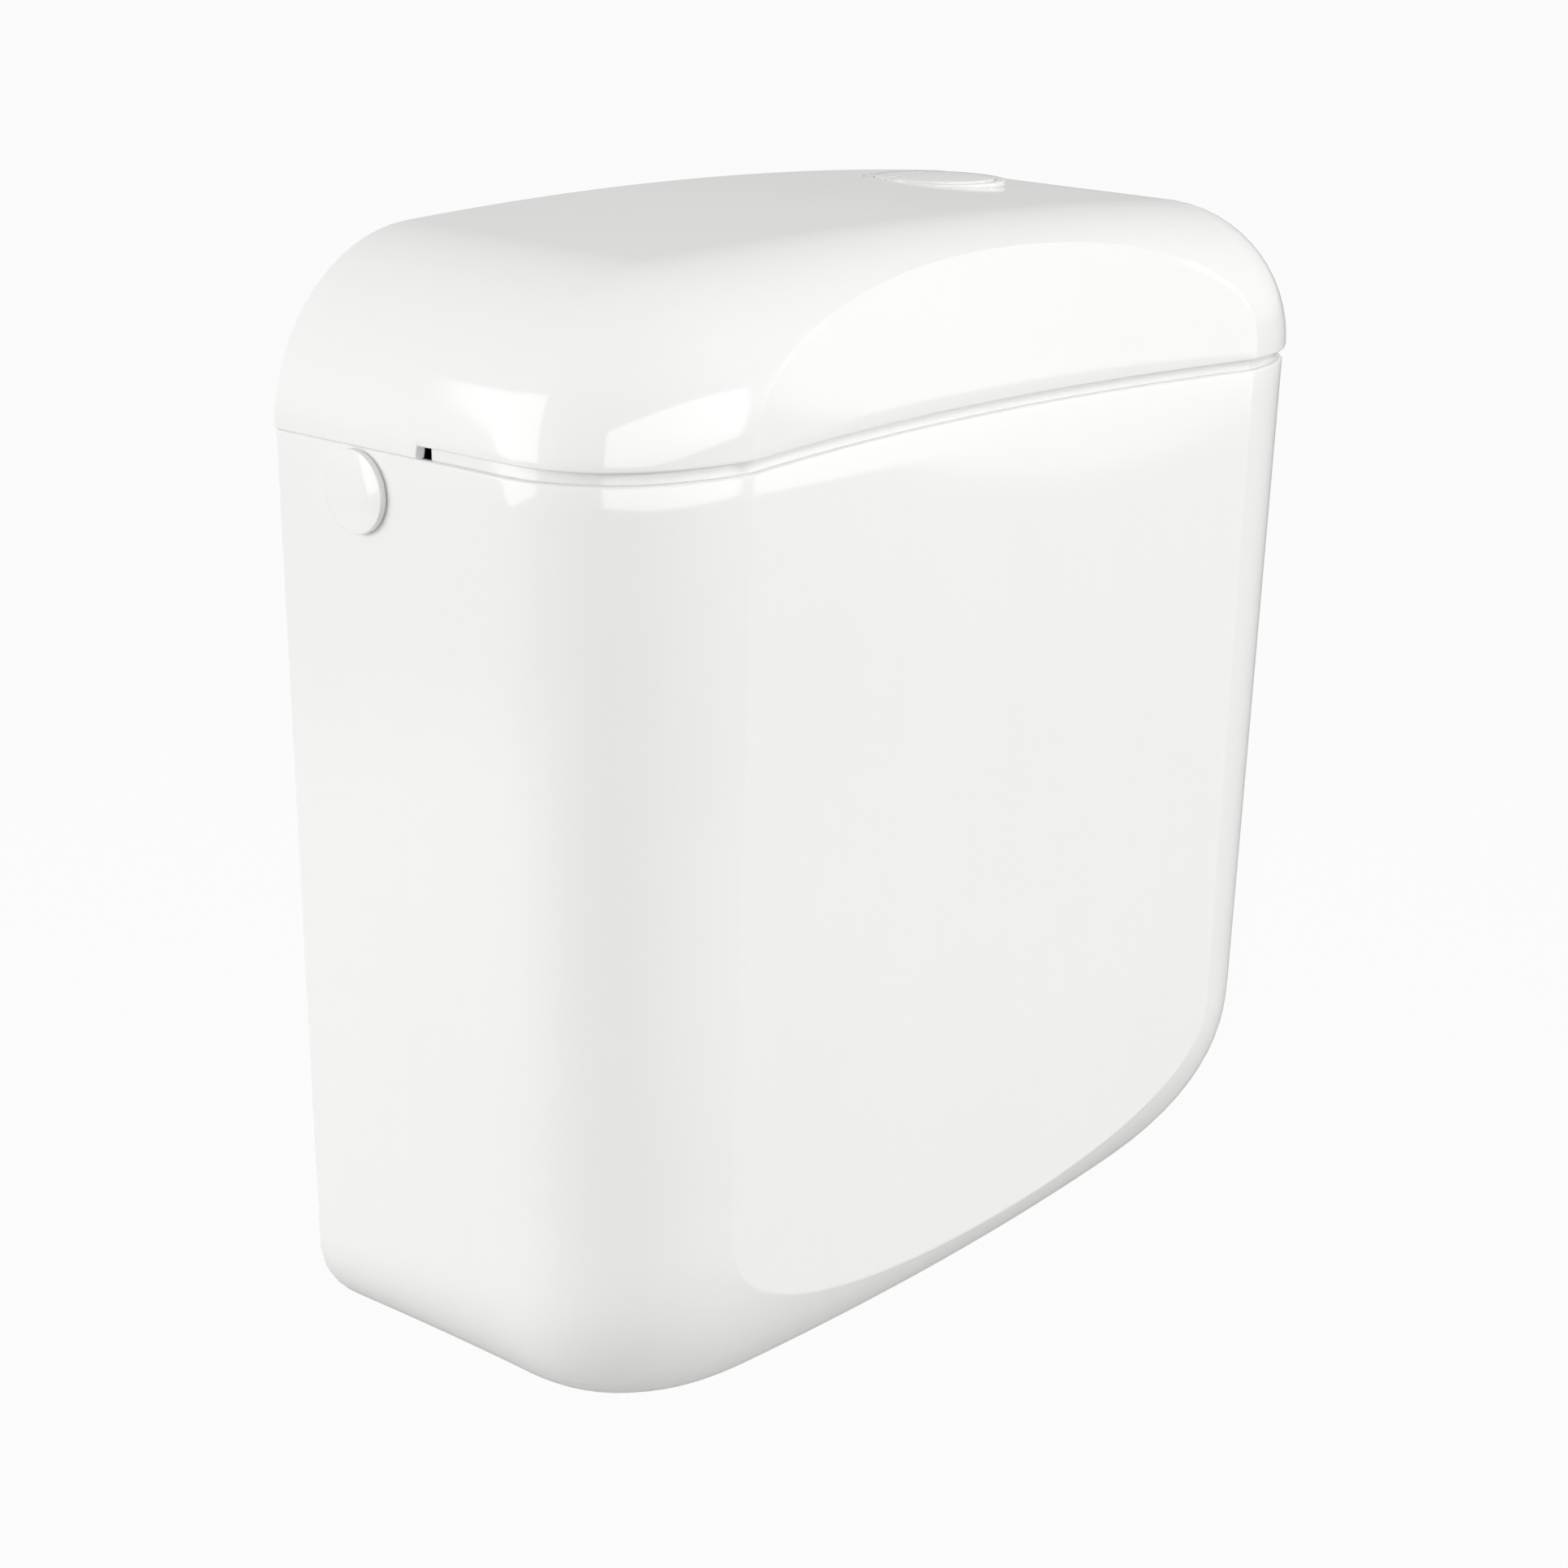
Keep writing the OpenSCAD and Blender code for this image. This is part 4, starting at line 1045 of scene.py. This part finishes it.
# Studio


class Use(Enum):
    """What a lamp is there for."""

    SOFT = "soft light on the surfaces"
    MIRRORED = "bright shape in the gloss"


@dataclass(frozen=True)
class Lamp:
    """A rectangular lamp that looks at a point."""

    name: str
    use: Use
    place: Point
    aim: Point
    size: tuple[float, float]
    power: float
    roll: float = 0.0

    def build(self) -> None:
        """Add the lamp to the scene."""
        data = bpy.data.lights.new(self.name, "AREA")
        data.shape = "RECTANGLE"
        data.size, data.size_y = self.size
        data.energy = self.power
        lamp = bpy.data.objects.new(self.name, data)
        lamp.location = self.place
        turn = (Vector(self.aim) - Vector(self.place)).to_track_quat("-Z", "Y")
        lamp.rotation_euler = (turn @ Quaternion((0.0, 0.0, 1.0), math.radians(self.roll))).to_euler()
        lamp.visible_glossy = self.use is Use.MIRRORED
        lamp.visible_diffuse = self.use is Use.SOFT
        bpy.context.scene.collection.objects.link(lamp)


class Studio:
    """Camera, lamps, floor and surroundings."""

    EYE = Vector((-0.69806, -0.65815, 0.20036))
    PITCH, ROLL, YAW = 71.809, -0.952, -48.372
    LENS = 61.13
    FLOOR = -0.85
    FLOOR_REACH = 80.0
    FLOOR_GLOW = 0.94
    SKY_LOW, SKY_HIGH = 0.62, 0.6
    LAMPS = (
        Lamp("front_window", Use.MIRRORED, (-0.45, -2.4, 0.33), (-0.1, -0.13, 0.1), (4.0, 1.4), 38.0),
        Lamp("right_window", Use.MIRRORED, (1.8, -1.64, 0.28), (0.02, -0.14, 0.28), (1.45, 1.36), 6.2),
        Lamp("left_window", Use.MIRRORED, (-2.24, 1.24, 0.54), (-0.19, -0.1, 0.06), (1.14, 1.9), 12.5, 20.0),
        Lamp("left_fill", Use.SOFT, (-2.35, 1.05, 0.25), (0.0, -0.1, -0.1), (2.2, 1.2), 38.5),
        Lamp("front_fill", Use.SOFT, (0.6, -2.2, 0.2), (0.0, -0.1, -0.1), (1.8, 0.8), 18.0),
        Lamp("over_front", Use.SOFT, (0.3, -1.2, 1.15), (0.0, -0.1, 0.0), (1.4, 0.8), 8.5),
    )

    def camera(self) -> None:
        """Stand where the photograph was taken."""
        data = bpy.data.cameras.new("camera")
        data.lens = self.LENS
        data.sensor_width = 36.0
        data.sensor_fit = "HORIZONTAL"
        camera = bpy.data.objects.new("camera", data)
        camera.location = self.EYE
        camera.rotation_euler = [math.radians(angle) for angle in (self.PITCH, self.ROLL, self.YAW)]
        bpy.context.scene.collection.objects.link(camera)
        bpy.context.scene.camera = camera

    def seen(self, kit: NodeKit) -> Val:
        """One for rays that look straight at the background."""
        return kit.val("ShaderNodeLightPath", "Is Camera Ray")

    def surroundings(self) -> None:
        """White to the eye, softer and dimmer from above as light."""
        world = bpy.data.worlds.new("studio")
        world.use_nodes = True
        world.node_tree.nodes.clear()
        kit = NodeKit(world.node_tree)
        way = kit.add("ShaderNodeSeparateXYZ", {0: kit.val("ShaderNodeTexCoord", "Generated")})
        level = kit.spread(Val(kit, way.outputs["Z"]), -0.1, 0.9, self.SKY_LOW, self.SKY_HIGH)
        light = kit.val("ShaderNodeBackground", inputs={"Color": (1.0, 0.995, 0.985, 1.0), "Strength": level})
        white = kit.val("ShaderNodeBackground", inputs={"Color": (1.0, 1.0, 1.0, 1.0), "Strength": 1.0})
        mixed = kit.val("ShaderNodeMixShader", inputs={0: self.seen(kit), 1: light, 2: white})
        kit.add("ShaderNodeOutputWorld", {"Surface": mixed})
        bpy.context.scene.world = world

    def floor(self) -> None:
        """A wide pale floor that keeps the shadow."""
        sheet = Sheet()
        reach, level = self.FLOOR_REACH / MM, self.FLOOR / MM
        steps = [-reach + 2 * reach * step / 8 for step in range(9)]
        sheet.grid([[(x, y, level) for y in steps] for x in steps])
        floor = sheet.build("studio_floor")
        if floor.data.polygons[0].normal.z < 0:
            floor.data.flip_normals()
        material = bpy.data.materials.new("studio_floor")
        material.use_nodes = True
        material.node_tree.nodes.clear()
        kit = NodeKit(material.node_tree)
        matt = kit.val("ShaderNodeBsdfDiffuse", inputs={"Color": (0.55, 0.55, 0.54, 1.0)})
        glow = kit.val("ShaderNodeEmission", inputs={"Color": (1.0, 1.0, 1.0, 1.0), "Strength": 1.0})
        mixed = kit.val("ShaderNodeMixShader", inputs={0: self.seen(kit) * self.FLOOR_GLOW, 1: matt, 2: glow})
        kit.add("ShaderNodeOutputMaterial", {"Surface": mixed})
        floor.data.materials.append(material)

    def build(self) -> None:
        """Set up everything but the object."""
        self.camera()
        self.surroundings()
        self.floor()
        for lamp in self.LAMPS:
            lamp.build()
        bpy.context.scene.view_settings.view_transform = "Standard"


def main() -> None:
    """Build the studio and the cistern."""
    logging.basicConfig(level=logging.INFO)
    Studio().build()
    Cistern().build()


if __name__ == "__main__":
    main()
